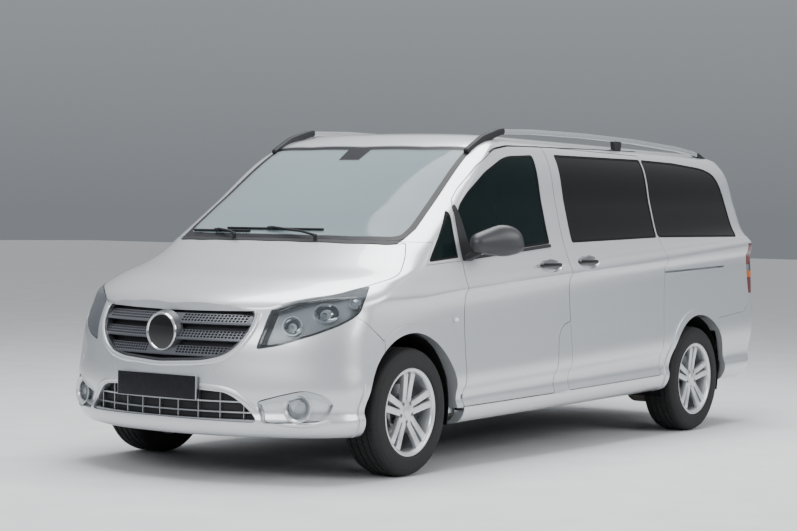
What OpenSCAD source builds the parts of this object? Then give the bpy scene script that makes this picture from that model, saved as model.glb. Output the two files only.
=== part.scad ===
// Long-wheelbase passenger van: hollow body split at its real seams, hinged front doors,
// hood and tailgate, steered front wheels and a seated cabin.
// X runs across (the vehicle's left is +X), Y runs aft (the nose is at -Y), Z is up from the ground.

/* [Body] */
// Overall length, number plate to rear bumper
body_l = 5156; // [4700:1:5600]
// Overall width without the mirrors
body_w = 1924; // [1800:1:2050]
// Height of the roof skin above the ground
roof_h = 1837; // [1750:1:2100]
// Thickness of a door or side wall
wall = 60; // [45:1:75]
// Thickness of the roof with its lining
roof_t = 40; // [30:1:50]
// Gap round each door and lid
seam = 5; // [5:0.5:8]
// Clearance between a pane or lamp and its opening
fit = 0.5; // [0.3:0.1:1]

/* [Wheels] */
// Diameter of a tyre
tyre_d = 666; // [620:1:700]
// Width of a tyre
tyre_w = 222; // [195:1:245]
// Diameter of the rim's lip
rim_d = 458; // [420:1:480]
// Radius of a wheel arch
arch_r = 405; // [395:1:430]
// How far a wheel's outer face lies from the centre line
track_x = 926; // [900:1:940]
// Number of double spokes
spokes = 5; // [5:1:7]
// Radius of a wheel spindle
spindle_r = 28; // [24:1:34]

/* [Cabin] */
// Width of a front seat
seat_w = 500; // [450:1:560]
// Diameter of the steering wheel
steer_d = 380; // [340:1:420]
// Height of the cabin floor
floor_z = 470; // [420:1:520]

/* [Grille] */
// Number of bright bars standing in the lower intake
intake_bars = 13; // [9:2:17]
// Width of the front number plate
plate_w = 520; // [440:1:540]

/* [Hidden] */
silver = "#c9ccd0";
black = "#222326";
kl = body_l / 5156;
kw = body_w / 1924;
kh = roof_h / 1837;
axle_z = tyre_d / 2;
kingpin_x = track_x - 156;
front_y = -1645 * kl;
rear_y = 1555 * kl;
arch_z = axle_z + 5;

// One row per height of the skin: height at the nose, rise towards the tail, half width,
// nose, corner length, nose sweep and tail.
rows = [
    [228, 70, 850, -2480, 210, 230, 2455], [240, 80, 905, -2548, 225, 250, 2510],
    [322, 96, 946, -2570, 230, 260, 2552], [350, 102, 936, -2564, 230, 260, 2557],
    [460, 174, 958, -2570, 230, 262, 2573], [600, 220, 948, -2562, 235, 262, 2578],
    [740, 260, 944, -2540, 250, 260, 2572], [860, 285, 951, -2480, 280, 250, 2549],
    [912, 285, 962, -2438, 290, 245, 2538], [1000, 240, 940, -2270, 300, 222, 2526],
    [1080, 180, 919, -2020, 300, 205, 2516], [1218, 96, 884, -1672, 183, 144, 2506],
    [1400, 50, 842, -1380, 160, 120, 2484], [1700, 0, 769, -902, 115, 72, 2404],
    [1760, -18, 735, -800, 120, 66, 2365], [1800, -29, 660, -705, 145, 66, 2285],
    [1828, -30, 450, -540, 145, 55, 2100], [1837, -30, 120, -320, 110, 20, 1820]];
// Rows that the plainer inner face of a wall follows.
inner_rows = [for (i = [0, 4, 6, 8, 10, 11, 13, 15, 16]) rows[i]];
corner_n = 2.6;
tail_corner = 200;
tail_sweep = 50;
rise_from = -1570;
rise_to = 2430;
bow = 0.027;
// Steps round the nose, along the side and round the tail, on the skin and on the inner face.
skin_steps = [8, 3, 4];
inner_steps = [5, 2, 3];

function round_trip(n) = concat([for (i = [0:n[0]]) i / n[0]],
    [for (i = [1:n[1]]) 1 + i / n[1]], [for (i = [1:n[2]]) 2 + i / n[2]]);
function between(a, b, t) = a + (b - a) * t;
function clamp(v, lo, hi) = min(hi, max(lo, v));
function across(x) = x * kw;
function aft(y) = y * kl;
function up(z) = z * kh;

// Half width and place along the van of a row at u, from the nose (0) over the side (1 to 2)
// to the tail (3), inset by t.
function plan_point(row, t, u) =
    let (w = row[2] - t, nose = row[3] + t, a = row[4], s = row[5], tail = row[6] - t,
        angle = u <= 1 ? 90 * (1 - u) : 90 * (u - 2),
        c = pow(max(cos(angle), 0), 2 / corner_n), q = pow(max(sin(angle), 0), 2 / corner_n))
    u <= 1 ? [w * c, nose + a * (1 - q) + s * c * c]
    : u <= 2 ? [w, between(nose + a + s, tail - tail_corner - tail_sweep, u - 1)]
    : [w * c, tail - tail_corner * (1 - q) - tail_sweep * c * c];
function skin_point(row, t, drop, u, side) =
    let (p = plan_point(row, t, u),
        narrow = 1 - bow * pow((p[1] - 200) / 2300, 2),
        lift = row[1] * clamp((p[1] - rise_from) / (rise_to - rise_from), 0, 1.05))
    [side * across(p[0] * narrow), aft(p[1]), up(row[0] - drop + lift)];
function ring(row, t, drop, us) = concat(
    [for (u = us) skin_point(row, t, drop, u, 1)],
    [for (i = [len(us) - 2:-1:1]) skin_point(row, t, drop, us[i], -1)]);
function roof_drop(row, depth) = depth * clamp((row[0] - 1690) / 110, 0, 1);

// The closed solid inside the skin, inset by t at the sides and by drop under the roof.
// below lengthens it downwards, so that a shell is open at the floor.
module skin(t = 0, drop = 0, below = 0, plain = false) {
    us = round_trip(plain ? inner_steps : skin_steps);
    kept = [for (r = plain ? inner_rows : rows) if (r[2] - t > 30) r];
    half = len(us) - 1;
    n = len(kept);
    m = 2 * half;
    bottom = [for (p = ring(kept[0], t, 0, us)) [p[0], p[1], p[2] - below - 0.01]];
    points = concat(bottom, [for (r = kept) each ring(r, t, roof_drop(r, drop), us)]);
    walls = [for (j = [0:n - 1], i = [0:m - 1])
        let (a = j * m + i, b = j * m + (i + 1) % m, c = b + m, d = a + m)
        each i < half ? [[a, d, c], [a, c, b]] : [[a, d, b], [b, d, c]]];
    caps = [for (level = [0, n])
        let (o = level * m)
        for (i = [0:half - 1])
            let (r0 = o + i, r1 = o + i + 1, l0 = o + (m - i) % m, l1 = o + (m - i - 1) % m,
                tris = i == 0 ? [[l1, r1, r0]] : i == half - 1 ? [[r1, r0, l0]]
                    : [[l1, r1, r0], [l1, r0, l0]])
            each level == 0 ? [for (f = tris) [f[2], f[1], f[0]]] : tris];
    polyhedron(points, concat(walls, caps));
}

// The wall of the body, and a thinner layer of it between two depths.
module shell() {
    difference() {
        skin();
        skin(wall, roof_t, 60, true);
    }
}
module layer(from, to, drop_from = 0, drop_to = roof_t) {
    difference() {
        skin(from, drop_from);
        skin(to, drop_to, 60);
    }
}

// A panel pressed from the skin is one faceted solid.
module pressed() {
    resize([0, 0, 0]) children();
}

// Outlines in side view, front view and plan, extruded along the third axis.
module outline(points, grow, round) {
    if (round > 0) offset(r = round, $fn = 8) offset(delta = grow - round) polygon(points);
    else if (grow != 0) offset(delta = grow) polygon(points);
    else polygon(points);
}
module side_prism(points, x0 = 300, x1 = 1100, grow = 0, round = 0) {
    translate([x0, 0, 0]) rotate([90, 0, 90]) linear_extrude(height = x1 - x0)
        outline([for (p = points) [aft(p[0]), up(p[1])]], grow, round);
}
module front_prism(points, y0 = -2700, y1 = -1900, grow = 0, round = 0) {
    translate([0, aft(y1), 0]) rotate([90, 0, 0]) linear_extrude(height = aft(y1) - aft(y0))
        outline([for (p = points) [across(p[0]), up(p[1])]], grow, round);
}
module plan_prism(points, z0, z1, grow = 0, round = 0) {
    translate([0, 0, up(z0)]) linear_extrude(height = up(z1) - up(z0))
        outline([for (p = points) [across(p[0]), aft(p[1])]], grow, round);
}
function both_halves(points) = concat(points,
    [for (i = [len(points) - 1:-1:0]) if (points[i][0] > 0) [-points[i][0], points[i][1]]]);
module both_sides() {
    children();
    mirror([1, 0, 0]) children();
}
// A block between two corners, moved with the body's size.
module block(a, b) {
    translate([across(a[0]), aft(a[1]), up(a[2])])
        cube([across(b[0] - a[0]), aft(b[1] - a[1]), up(b[2] - a[2])]);
}
module rod(from, to, r) {
    d = to - from;
    l = norm(d);
    translate(from) rotate([0, acos(d[2] / l), atan2(d[1], d[0])]) cylinder(r = r, h = l, $fn = 32);
}

// Seams of the side, as [aft, up].
b_seam = -98;
door_line = [[-1165, 334], [-1165, 1098], [-1172, 1395], [-1040, 1500], [-850, 1630],
    [-640, 1722], [-480, 1745], [b_seam, 1757], [b_seam, 1182], [-75, 757], [-155, 737],
    [-200, 690], [-222, 600], [-240, 352]];
door_window = [[-1140, 1130], [-1140, 1378], [-1005, 1478], [-800, 1596], [-560, 1690],
    [-245, 1706], [-245, 1200]];
slide_line = [[-68, 358], [-68, 757], [b_seam + seam, 1182], [b_seam + seam, 1757],
    [1068, 1742], [1060, 1228], [1078, 1150], [1096, 1000], [1045, 500], [1045, 384]];
slide_window = [[0, 1205], [0, 1716], [1052, 1720], [1046, 1236]];
rear_window = [[1062, 1237], [1068, 1720], [1500, 1713], [1900, 1689], [2050, 1650],
    [2130, 1520], [2165, 1262], [2150, 1243]];
quarter_glass = [[-1478, 1104], [-1195, 1126], [-1195, 1388]];
wing_line = [[-1170, 329], [-1170, 1108], [-1500, 1088], [-1400, 1207], [-1560, 1207],
    [-2130, 1207], [-2130, 861], [-1894, 712], [-1894, 329]];
bumper_line = [[-1899, 150], [-1899, 709], [-2096, 838], [-2136, 864], [-2136, 1000], [-2700, 1000],
    [-2700, 150]];
rear_bumper_line = [[1838, 150], [1838, 713], [2226, 746], [2290, 790], [2318, 850], [2318, 868],
    [2700, 868], [2700, 150]];
rail_slot = [[1100, 1015], [1098, 1029], [1947, 1056], [1947, 1044]];

// Outlines in front view, as [across, up].
grille_line = both_halves([[0, 594], [269, 609], [375, 636], [446, 689], [490, 768],
    [492, 844], [461, 872], [279, 888], [0, 894]]);
intake_line = both_halves([[0, 318], [280, 314], [562, 310], [486, 391], [440, 432],
    [390, 455], [266, 462], [0, 464]]);
fog_line = [[545, 414], [650, 446], [756, 476], [833, 444], [853, 408], [834, 357],
    [812, 322], [694, 313], [575, 310]];
lamp_line = [[533, 673], [550, 758], [558, 866], [670, 919], [782, 952], [866, 985],
    [902, 925], [895, 844], [851, 795], [771, 749], [634, 694]];
gate_line = both_halves([[0, 652], [700, 652], [768, 700], [775, 1250], [742, 1500],
    [705, 1690], [680, 1830], [0, 1830]]);
gate_window = both_halves([[0, 1245], [630, 1245], [655, 1290], [615, 1640], [590, 1680], [0, 1692]]);
gate_y = 2290;
// The roof ends this far before the tailgate, whose edge swings past it.
roof_gap = 6.5;

// Outlines in plan, as [across, aft].
screen_line = both_halves([[0, -1672], [250, -1660], [500, -1615], [690, -1545], [752, -1500],
    [762, -1400], [690, -760], [660, -748], [400, -812], [0, -842]]);
cowl_line = both_halves([[0, -1712], [250, -1700], [500, -1655], [700, -1578], [742, -1545],
    [752, -1500], [690, -1545], [500, -1615], [250, -1660], [0, -1672]]);
hood_line = both_halves([[0, -2464], [279, -2434], [461, -2392], [556, -2348], [668, -2246],
    [784, -2130], [857, -1956], [890, -1815], [888, -1724], [826, -1588], [778, -1515],
    [745, -1550], [700, -1583], [500, -1660], [250, -1705], [0, -1717]]);
hood_side = [[-2500, 846], [-2348, 862], [-2246, 905], [-1958, 962], [-1724, 1022],
    [-1560, 1110], [-1480, 1150], [-1480, 1300], [-2500, 1300]];
roof_line = both_halves([[0, -836], [400, -806], [660, -742], [700, -700], [706, 0], [706, 1200],
    [690, 2000], [660, gate_y - roof_gap], [0, gate_y - roof_gap]]);

module hood_zone(grow = 0) {
    intersection() {
        plan_prism(hood_line, 830, 1300, grow);
        side_prism(hood_side, -1000, 1000, grow);
    }
}
module wheel_arches(r = arch_r) {
    for (y = [front_y, rear_y])
        translate([0, y, arch_z]) rotate([0, 90, 0]) cylinder(r = r, h = 2400, center = true, $fn = 32);
}
module screen_zone(grow = 0) {
    plan_prism(screen_line, 1195, 1790, grow);
}
module gate_zone(grow = 0) {
    front_prism(gate_line, gate_y - grow, 2700, grow, 20);
}
module tail_lamp_zone(grow = 0) {
    side_prism([[2262, 1200], [2312, 868 + grow], [2700, 868 + grow], [2700, 1200]], across(782), 1100, grow);
}
module side_windows(grow = 0) {
    side_prism(slide_window, grow = grow, round = 16);
    side_prism(rear_window, grow = grow, round = 24);
    side_prism(quarter_glass, grow = grow, round = 10);
}
// The raised lip round an arch.
module arch_lip(y) {
    intersection() {
        difference() {
            skin(-7);
            skin(30, 0, 60, true);
        }
        translate([300, y, arch_z]) rotate([0, 90, 0]) difference() {
            cylinder(r = arch_r + 46, h = 800, $fn = 32);
            translate([0, 0, -1]) cylinder(r = arch_r, h = 802, $fn = 32);
        }
    }
}

// Hinge line of a front door: upright, inside the leading edge.
door_top_x = 712;
hinge = [915, -1135];
hinge_z = [[500, 590], [880, 970]];
pin_r = 6;
barrel_r = 12;
post_x = 862;
sweep_r = 54;
// Room in the hinge post, between the hinges, for the inner edge of the opening door.
post_relief = 64;
module hinge_pockets() {
    for (z = hinge_z) block([800, -1300, z[0]], [hinge[0] + 15, hinge[1] + 26, z[1]]);
}
// What the door's leading edge sweeps as it opens, behind a thin lip of the outer skin.
module hinge_sweep() {
    intersection() {
        skin(3.2);
        at_hinge() translate([0, 0, up(310)]) cylinder(r = sweep_r, h = up(1120 - 310), $fn = 24);
    }
}
module at_hinge() {
    translate([across(hinge[0]), aft(hinge[1]), 0]) children();
}

// The oval cup behind a door handle, from its middle.
handle_front = [-302, 1083];
handle_slide = [122, 1098];
module handle_cup(at, deep = 925) {
    translate([across(deep), aft(at[0]), up(at[1])]) rotate([0, 90, 0])
        scale([0.42, 1.24, 1]) cylinder(r = 100, h = 90, $fn = 40);
}
module handle_bar(at) {
    z = up(at[1]) - 4;
    y = aft(at[0]);
    x = across(938);
    hull() for (dy = [-100, 100]) translate([x, y + dy, z]) rotate([0, 90, 0])
        cylinder(r = 15, h = 16, $fn = 24);
    for (dy = [-90, 90]) translate([across(925), y + dy, z]) rotate([0, 90, 0])
        cylinder(r = 10, h = 14, $fn = 16);
}

module door_panel() {
    difference() {
        intersection() {
            shell();
            side_prism(door_line, across(door_top_x), round = 14);
        }
        side_prism(door_window, round = 20);
        hinge_pockets();
        handle_cup(handle_front);
    }
    at_hinge() for (z = hinge_z)
        translate([0, 0, up(z[0]) - 10]) cylinder(r = pin_r, h = up(z[1] - z[0]) + 20, $fn = 16);
}
module front_door() {
    color(silver) pressed() door_panel();
}
module pane(points, grow = -fit, round = 16) {
    intersection() {
        layer(3, 9, 3, 9);
        side_prism(points, grow = grow, round = round);
    }
}
module door_glass() {
    color([0.1, 0.14, 0.14, 0.6]) pressed() pane(door_window, round = 20);
}
module sliding_door() {
    color(silver) pressed() difference() {
        intersection() {
            shell();
            side_prism(slide_line, across(door_top_x), round = 12);
        }
        side_prism(slide_window, round = 16);
        handle_cup(handle_slide);
    }
}
// Handle, belt strip and mirror of a front door: black plastic.
module door_trim() {
    color(black) union() {
        handle_bar(handle_front);
        pressed() intersection() {
            layer(-5.2, -0.3);
            side_prism([[-1160, 1112], [-1160, 1126], [b_seam - 150, 1198], [b_seam - 150, 1184]]);
        }
        mirror_housing();
    }
}
// The mirror leans outwards and aft, so it stays clear of the pillar as the door opens.
mirror_sweep = 30;
module mirror_housing() {
    hull() {
        translate([across(982), aft(-1118), up(1214)]) rotate([0, 0, -mirror_sweep]) scale([50, 50, 66])
            sphere(r = 1, $fn = 16);
        translate([across(1050), aft(-1010), up(1216)]) rotate([0, 0, -mirror_sweep]) scale([50, 100, 83])
            sphere(r = 1, $fn = 20);
    }
    pressed() difference() {
        hull() {
            translate([across(880), aft(-1150), up(1104)]) cube([20, 80, 24]);
            translate([across(985), aft(-1118), up(1165)]) sphere(r = 22, $fn = 12);
        }
        skin(-0.3);
    }
}

// Inner posts of the side, behind the doors: hinge post with its foot and head, and the post
// between the doors, joined to the frame below and above them.
module side_posts() {
    intersection() {
        skin(wall - 2, 0, 60, true);
        union() {
            block([785, -1165, 290], [900, -1125, 326]);
            block([785, -1209, 1112], [900, -1180, 1200]);
            block([790, -140, 285], [900, -50, 330]);
            block([640, -140, 1735], [800, -50, 1790]);
        }
    }
    intersection() {
        skin(wall + 9, 0, 60, true);
        difference() {
            block([785, -1209, 290], [post_x, -1130, 1122]);
            at_hinge() for (z = [[280, 495], [595, 875], [975, 1130]])
                translate([0, 0, up(z[0])]) cylinder(r = post_relief, h = up(z[1]) - up(z[0]), $fn = 32);
        }
    }
    intersection() {
        difference() {
            skin(wall + 9, 0, 60, true);
            skin(wall + 70, 60, 100, true);
        }
        block([600, -140, 285], [900, -50, 1790]);
    }
}
module side_frame() {
    color(silver) pressed() difference() {
        union() {
            difference() {
                intersection() {
                    shell();
                    translate([0, -3000, 0]) cube([1200, 6000, 3000]);
                }
                side_prism(door_line, grow = seam, round = 14);
                side_prism(slide_line, grow = fit, round = 12);
                hinge_sweep();
                side_prism([[-3000, 0], [-3000, 2000], [-1600, 2000], [-1600, 1207], [-1400, 1207],
                    [-1500, 1088], [-1170, 1108], [-1170, 326], [-1170, 0]], 0, 1200, fit);
            }
            arch_lip(rear_y);
            side_posts();
        }
        plan_prism(roof_line, 1600, 1900, fit);
        screen_zone();
        gate_zone(roof_gap);
        side_windows();
        wheel_arches();
        tail_lamp_zone();
        side_prism(rear_bumper_line, -10, 1100, fit);
        side_prism(rail_slot, across(925), 1100);
        plan_prism(cowl_line, 1100, 1300, fit);
    }
}
module roof_panel() {
    color(silver) pressed() difference() {
        intersection() {
            shell();
            plan_prism(roof_line, 1600, 1900);
        }
        screen_zone();
        for (x = [-gate_hinge_x, gate_hinge_x]) translate([x - 42, aft(gate_pivot[0]) - 15, 1600])
            cube([84, 200, up(gate_pivot[1]) + 13 - 1600]);
    }
}
module front_wings() {
    color(silver) pressed() both_sides() difference() {
        union() {
            intersection() {
                shell();
                side_prism(wing_line, across(700));
            }
            intersection() {
                arch_lip(front_y);
                side_prism(wing_line, across(700));
            }
        }
        hinge_sweep();
        wheel_arches();
        hood_zone(seam);
        front_prism(lamp_line, -2700, -1880, grow = fit);
        screen_zone(fit);
        plan_prism(cowl_line, 1100, 1300, fit);
    }
}
module front_bumper() {
    color(silver) pressed() difference() {
        union() {
            difference() {
                intersection() {
                    shell();
                    side_prism(bumper_line, -1100, 1100);
                }
                wheel_arches(arch_r + 45);
            }
            both_sides() intersection() {
                arch_lip(front_y);
                side_prism(bumper_line, -1100, 1100);
            }
        }
        wheel_arches();
        hood_zone(seam);
        front_prism(grille_line);
        front_prism(intake_line);
        both_sides() {
            front_prism(lamp_line, grow = fit);
            front_prism(fog_line, grow = fit);
        }
        block([-plate_w / 2 - 1, -2600, 411], [plate_w / 2 + 1, -2562, 533]);
    }
}
module front_plate() {
    color(black) block([-plate_w / 2, -2578, 412], [plate_w / 2, -2562, 532]);
}
// A level bar that follows the nose in plan, between two depths behind the skin.
function row_at(z) =
    let (i = max([for (k = [0:len(rows) - 2]) if (rows[k][0] <= z) k]),
        t = (z - rows[i][0]) / (rows[i + 1][0] - rows[i][0]))
    rows[i] + (rows[i + 1] - rows[i]) * t;
module nose_bar(z, h, from, to) {
    row = row_at(z);
    us = [for (i = [0:9]) i * 0.09];
    outer = [for (u = us) let (p = plan_point(row, from, u)) [across(p[0]), aft(p[1])]];
    inner = [for (u = us) let (p = plan_point(row, to, u)) [across(p[0]), aft(p[1])]];
    loop = concat(outer, [for (i = [9:-1:0]) inner[i]]);
    translate([0, 0, up(z)]) linear_extrude(height = up(h)) polygon(concat(loop,
        [for (i = [1:9]) [-inner[i][0], inner[i][1]]], [for (i = [9:-1:1]) [-outer[i][0], outer[i][1]]]));
}
// Three slats before a perforated screen, in a thin frame, with a plain round boss.
module grille() {
    steps = [592, 650, 722, 800, 860, 900];
    color("#3a3b40") intersection() {
        difference() {
            front_prism(grille_line, grow = -fit);
            hood_zone(seam);
        }
        union() {
            for (i = [0:4]) {
                h = steps[i + 1] - steps[i];
                nose_bar(steps[i], h, 30, 37);
                difference() {
                    nose_bar(steps[i], h, 8, 31);
                    front_prism(grille_line, grow = -16);
                }
            }
            for (z = [662, 738, 814]) nose_bar(z, 24, 8, 31);
            translate([0, aft(-2500), up(741)]) rotate([90, 0, 0]) cylinder(r = 92, h = 42);
        }
    }
}
module lower_grille() {
    pitch = 1080 / (intake_bars - 1);
    color("#8d9096") intersection() {
        front_prism(intake_line, grow = -fit);
        union() {
            for (z = [312, 350, 390, 430]) nose_bar(z, z == 312 ? 14 : 8, 14, z == 312 ? 44 : 24);
            for (i = [0:intake_bars - 1])
                let (x = -540 + i * pitch, y = plan_point(row_at(400), 18, 0)[1] + 200 * pow(x / 700, 2))
                block([x - 3, y, 300], [x + 3, y + 16, 470]);
        }
    }
}
module headlamps() {
    color("#dfe6ea") pressed() both_sides() difference() {
        intersection() {
            layer(2, wall - 1, 2, 2);
            front_prism(lamp_line, grow = -fit);
        }
        hood_zone(seam);
    }
}
module fog_lamps() {
    color("#b9bcc0") intersection() {
        both_sides() front_prism(fog_line, grow = -fit);
        union() {
            for (z = [309, 350, 390, 430]) nose_bar(z, 40, 24, 44);
            both_sides() translate([across(722), aft(-2200), up(386)]) rotate([90, 0, 20])
                cylinder(r = 55, h = 160);
        }
    }
}
module windscreen() {
    color([0.7, 0.8, 0.84, 0.5]) pressed() intersection() {
        layer(2, 14, 2, 10);
        screen_zone(-fit);
    }
}
module fixed_glass() {
    color([0.05, 0.05, 0.06, 0.9]) pressed() both_sides() {
        pane(slide_window);
        pane(rear_window, round = 24);
        pane(quarter_glass, round = 10);
    }
}
// Roof rails: a bowed tube of oval section on three feet each.
rail_top = [[-790, 1722], [-640, 1800], [-470, 1845], [-100, 1858], [500, 1860], [1100, 1850],
    [1700, 1824], [1960, 1800], [2110, 1752]];
rail_low = [[-770, 1716], [-620, 1778], [-450, 1818], [-90, 1830], [500, 1832], [1100, 1822],
    [1700, 1796], [1940, 1776], [2070, 1746]];
module roof_rails() {
    color("#c0c3c6") pressed() both_sides() difference() {
        union() {
            side_prism(concat(rail_top, [for (i = [len(rail_low) - 1:-1:0]) rail_low[i]]),
                across(664), across(692));
            block([666, -735, 1690], [690, -600, 1776]);
            block([666, 850, 1690], [690, 940, 1830]);
            block([666, 1985, 1690], [690, 2085, 1766]);
        }
        skin(-0.3, -0.3);
    }
}
module tail_lamps() {
    color("#a01018") pressed() both_sides() difference() {
        intersection() {
            layer(0, 55);
            tail_lamp_zone(-fit);
        }
        gate_zone(seam);
        side_prism([[2262, 1199.5], [2262, 1300], [2700, 1300], [2700, 1199.5]]);
    }
}
module rear_bumper() {
    color(silver) pressed() difference() {
        union() {
            difference() {
                intersection() {
                    shell();
                    side_prism(rear_bumper_line, -1100, 1100);
                }
                wheel_arches(arch_r + 45);
            }
            both_sides() intersection() {
                arch_lip(rear_y);
                side_prism(rear_bumper_line, -1100, 1100);
            }
        }
        wheel_arches();
        gate_zone(seam);
    }
}

// Hinge lines of the tailgate and the hood run across, as [aft, up]. Goose-neck arms reach round
// the roof's edge and the cowl.
gate_hinge_x = 200;
gate_pivot = [2240, 1750];
gate_arm = [[0, 0], [-2, -62], [38, -60], [112, -34]];
hood_hinge_x = 640;
hood_pivot = [-1505, 1205];
hood_arm = [[0, 0], [-40, -125], [-122, -89], [-136, -37]];
lid_pin_r = 5;
shelf_z = 1150;
hood_foot = up(hood_pivot[1]) - up(shelf_z);
module at_pivot(pivot) {
    translate([0, aft(pivot[0]), up(pivot[1])]) rotate([90, 0, 90]) children();
}
module lid_arms(pivot, hinge_x, arm) {
    for (x = [-hinge_x, hinge_x]) translate([x, 0, 0]) at_pivot(pivot) {
        cylinder(r = lid_pin_r, h = 70, center = true, $fn = 16);
        for (side = [-35, 25], i = [0:len(arm) - 2]) translate([0, 0, side]) linear_extrude(height = 10)
            hull() for (p = [arm[i], arm[i + 1]]) translate(p) circle(r = 8, $fn = 8);
    }
}
module tailgate() {
    color(silver) pressed() {
        difference() {
            intersection() {
                shell();
                gate_zone();
            }
            front_prism(gate_window, 2200, 2700, round = 24);
            block([-plate_w / 2 - 1, 2560, 799], [plate_w / 2 + 1, 2700, 911]);
        }
        lid_arms(gate_pivot, gate_hinge_x, gate_arm);
    }
}
module tailgate_glass() {
    color([0.05, 0.05, 0.06, 0.9]) pressed() intersection() {
        layer(3, 11);
        front_prism(gate_window, 2200, 2700, grow = -fit, round = 24);
    }
}
module rear_plate() {
    color(black) block([-plate_w / 2, 2560, 800], [plate_w / 2, 2570, 910]);
}
module hood() {
    color(silver) pressed() {
        intersection() {
            shell();
            hood_zone();
        }
        lid_arms(hood_pivot, hood_hinge_x, hood_arm);
    }
}
// The body's halves of the door hinges: bored barrels on arms from the inner sill post.
module door_hinges() {
    color("#8a8d90") both_sides() {
        for (z = hinge_z) at_hinge() difference() {
            union() {
                translate([0, 0, up(z[0]) + 7]) cylinder(r = barrel_r, h = up(z[1] - z[0]) - 14);
                translate([across(post_x + 0.3) - across(hinge[0]), -8, up(z[0]) + 7])
                    cube([across(hinge[0] - post_x - 4), 14, up(z[1] - z[0]) - 14]);
            }
            translate([0, 0, up(z[0])]) cylinder(r = pin_r + 0.4, h = up(z[1] - z[0]) + 14);
        }
    }
}
// The body's halves of the lid hinges: a foot reaches down to the cowl shelf, or forward in the roof.
module lid_hinges() {
    color("#8a8d90") {
        lid_barrels(hood_pivot, hood_hinge_x) translate([-6, -hood_foot, -18]) cube([12, hood_foot, 36]);
        lid_barrels(gate_pivot, gate_hinge_x) translate([-15, -4, -18]) cube([15, 8, 36]);
    }
}
module lid_barrels(pivot, hinge_x) {
    for (x = [-hinge_x, hinge_x]) translate([x, 0, 0]) at_pivot(pivot) difference() {
        union() {
            cylinder(r = 10, h = 36, center = true);
            children();
        }
        cylinder(r = lid_pin_r + 0.4, h = 80, center = true);
    }
}

// Wheel, with its axis along X and its outer face at track_x.
module wheel_body() {
    r = rim_d / 2;
    x0 = track_x - tyre_w + 6;
    face = track_x - 8;
    color("#c4c7cb") rotate([0, 90, 0]) difference() {
        union() {
            rotate_extrude($fn = 96) polygon([[r - 26, x0 + 8], [r, x0], [r, x0 + 14], [r - 14, x0 + 22],
                [r - 18, x0 + 60], [r - 14, face - 20], [r, face - 12], [r, face + 2], [r - 16, face],
                [r - 24, face - 8], [r - 30, x0 + 60]]);
            intersection() {
                rotate_extrude($fn = 96) polygon([[0, face - 60], [40, face - 56], [r - 24, face - 34],
                    [r - 20, face - 34], [r - 20, face - 8], [r - 60, face - 16], [70, face - 26],
                    [0, face - 22]]);
                union() {
                    cylinder(r = 66, h = 1200, $fn = 48);
                    for (i = [0:spokes - 1], s = [-1, 1]) rotate([0, 0, i * 360 / spokes])
                        linear_extrude(height = 1200)
                            polygon([[30, s * 8], [r - 20, s * 20], [r - 20, s * 47], [30, s * 27]]);
                }
            }
            translate([0, 0, kingpin_x + 34]) cylinder(r = 50, h = face - 40 - kingpin_x - 34);
            translate([0, 0, kingpin_x + 44]) cylinder(r = 142, h = 22, $fn = 72);
            translate([0, 0, face - 26]) cylinder(r = 34, h = 12);
        }
        translate([0, 0, kingpin_x - 40]) cylinder(r = spindle_r + 0.5, h = 40 + 70);
        for (i = [0:4]) rotate([0, 0, i * 72 + 36]) translate([50, 0, face - 34]) cylinder(r = 9, h = 60);
    }
}
module tyre_body() {
    r = tyre_d / 2;
    b = rim_d / 2 - 12;
    x0 = track_x - tyre_w + 2;
    x1 = track_x + 2;
    color("#1b1b1c") rotate([0, 90, 0]) rotate_extrude($fn = 96)
        polygon(concat(
            [[b + 12.5, x0 + 6], [b + 40, x0 - 1], [r - 45, x0], [r - 16, x0 + 12], [r - 3, x0 + 30]],
            [for (g = [-1.5:1:1.5], e = [[-5, 0], [-4, -7], [4, -7], [5, 0]])
                [r + e[1], (x0 + x1) / 2 + g * 38 + e[0]]],
            [[r - 3, x1 - 30], [r - 16, x1 - 12], [r - 45, x1], [b + 40, x1 + 1], [b + 12.5, x1 - 4]]));
}
module at_axle(y) {
    translate([0, y, axle_z]) children();
}
module knuckle() {
    color("#55585c") at_axle(front_y) difference() {
        union() {
            translate([kingpin_x, 0, -172]) cylinder(r = 16, h = 344);
            translate([kingpin_x - 22, -32, -118]) cube([44, 64, 236]);
            rotate([0, 90, 0]) translate([0, 0, kingpin_x - 20]) cylinder(r = spindle_r, h = 84);
            translate([kingpin_x - 22, -120, -20]) cube([30, 100, 30]);
        }
        translate([kingpin_x - 7, -106, -60]) cylinder(r = 6, h = 120);
    }
}
module arm(z, from_x) {
    difference() {
        union() {
            translate([from_x, front_y - 24, z - 10]) cube([kingpin_x - from_x, 48, 20]);
            translate([kingpin_x, front_y, z - 12]) cylinder(r = 30, h = 24);
        }
        translate([kingpin_x, front_y, z - 20]) cylinder(r = 16.4, h = 40);
    }
}
module front_subframe() {
    color("#3c3e42") {
        both_sides() {
            translate([420, aft(-2285), 240]) cube([80, aft(1085), 70]);
            arm(axle_z - 152, 440);
            arm(axle_z + 152, 440);
            translate([420, front_y - 60, axle_z - 165]) cube([60, 120, 350]);
        }
        for (y = [-2280, -1900, -1300]) translate([-425, aft(y), 245]) cube([850, 90, 60]);
        both_sides() translate([440, aft(-1290), 300]) cube([60, 90, up(378) - 300.3]);
        both_sides() translate([440, aft(-1200.3), up(378) - 80]) cube([60, 60, 79.7]);
    }
}
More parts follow.
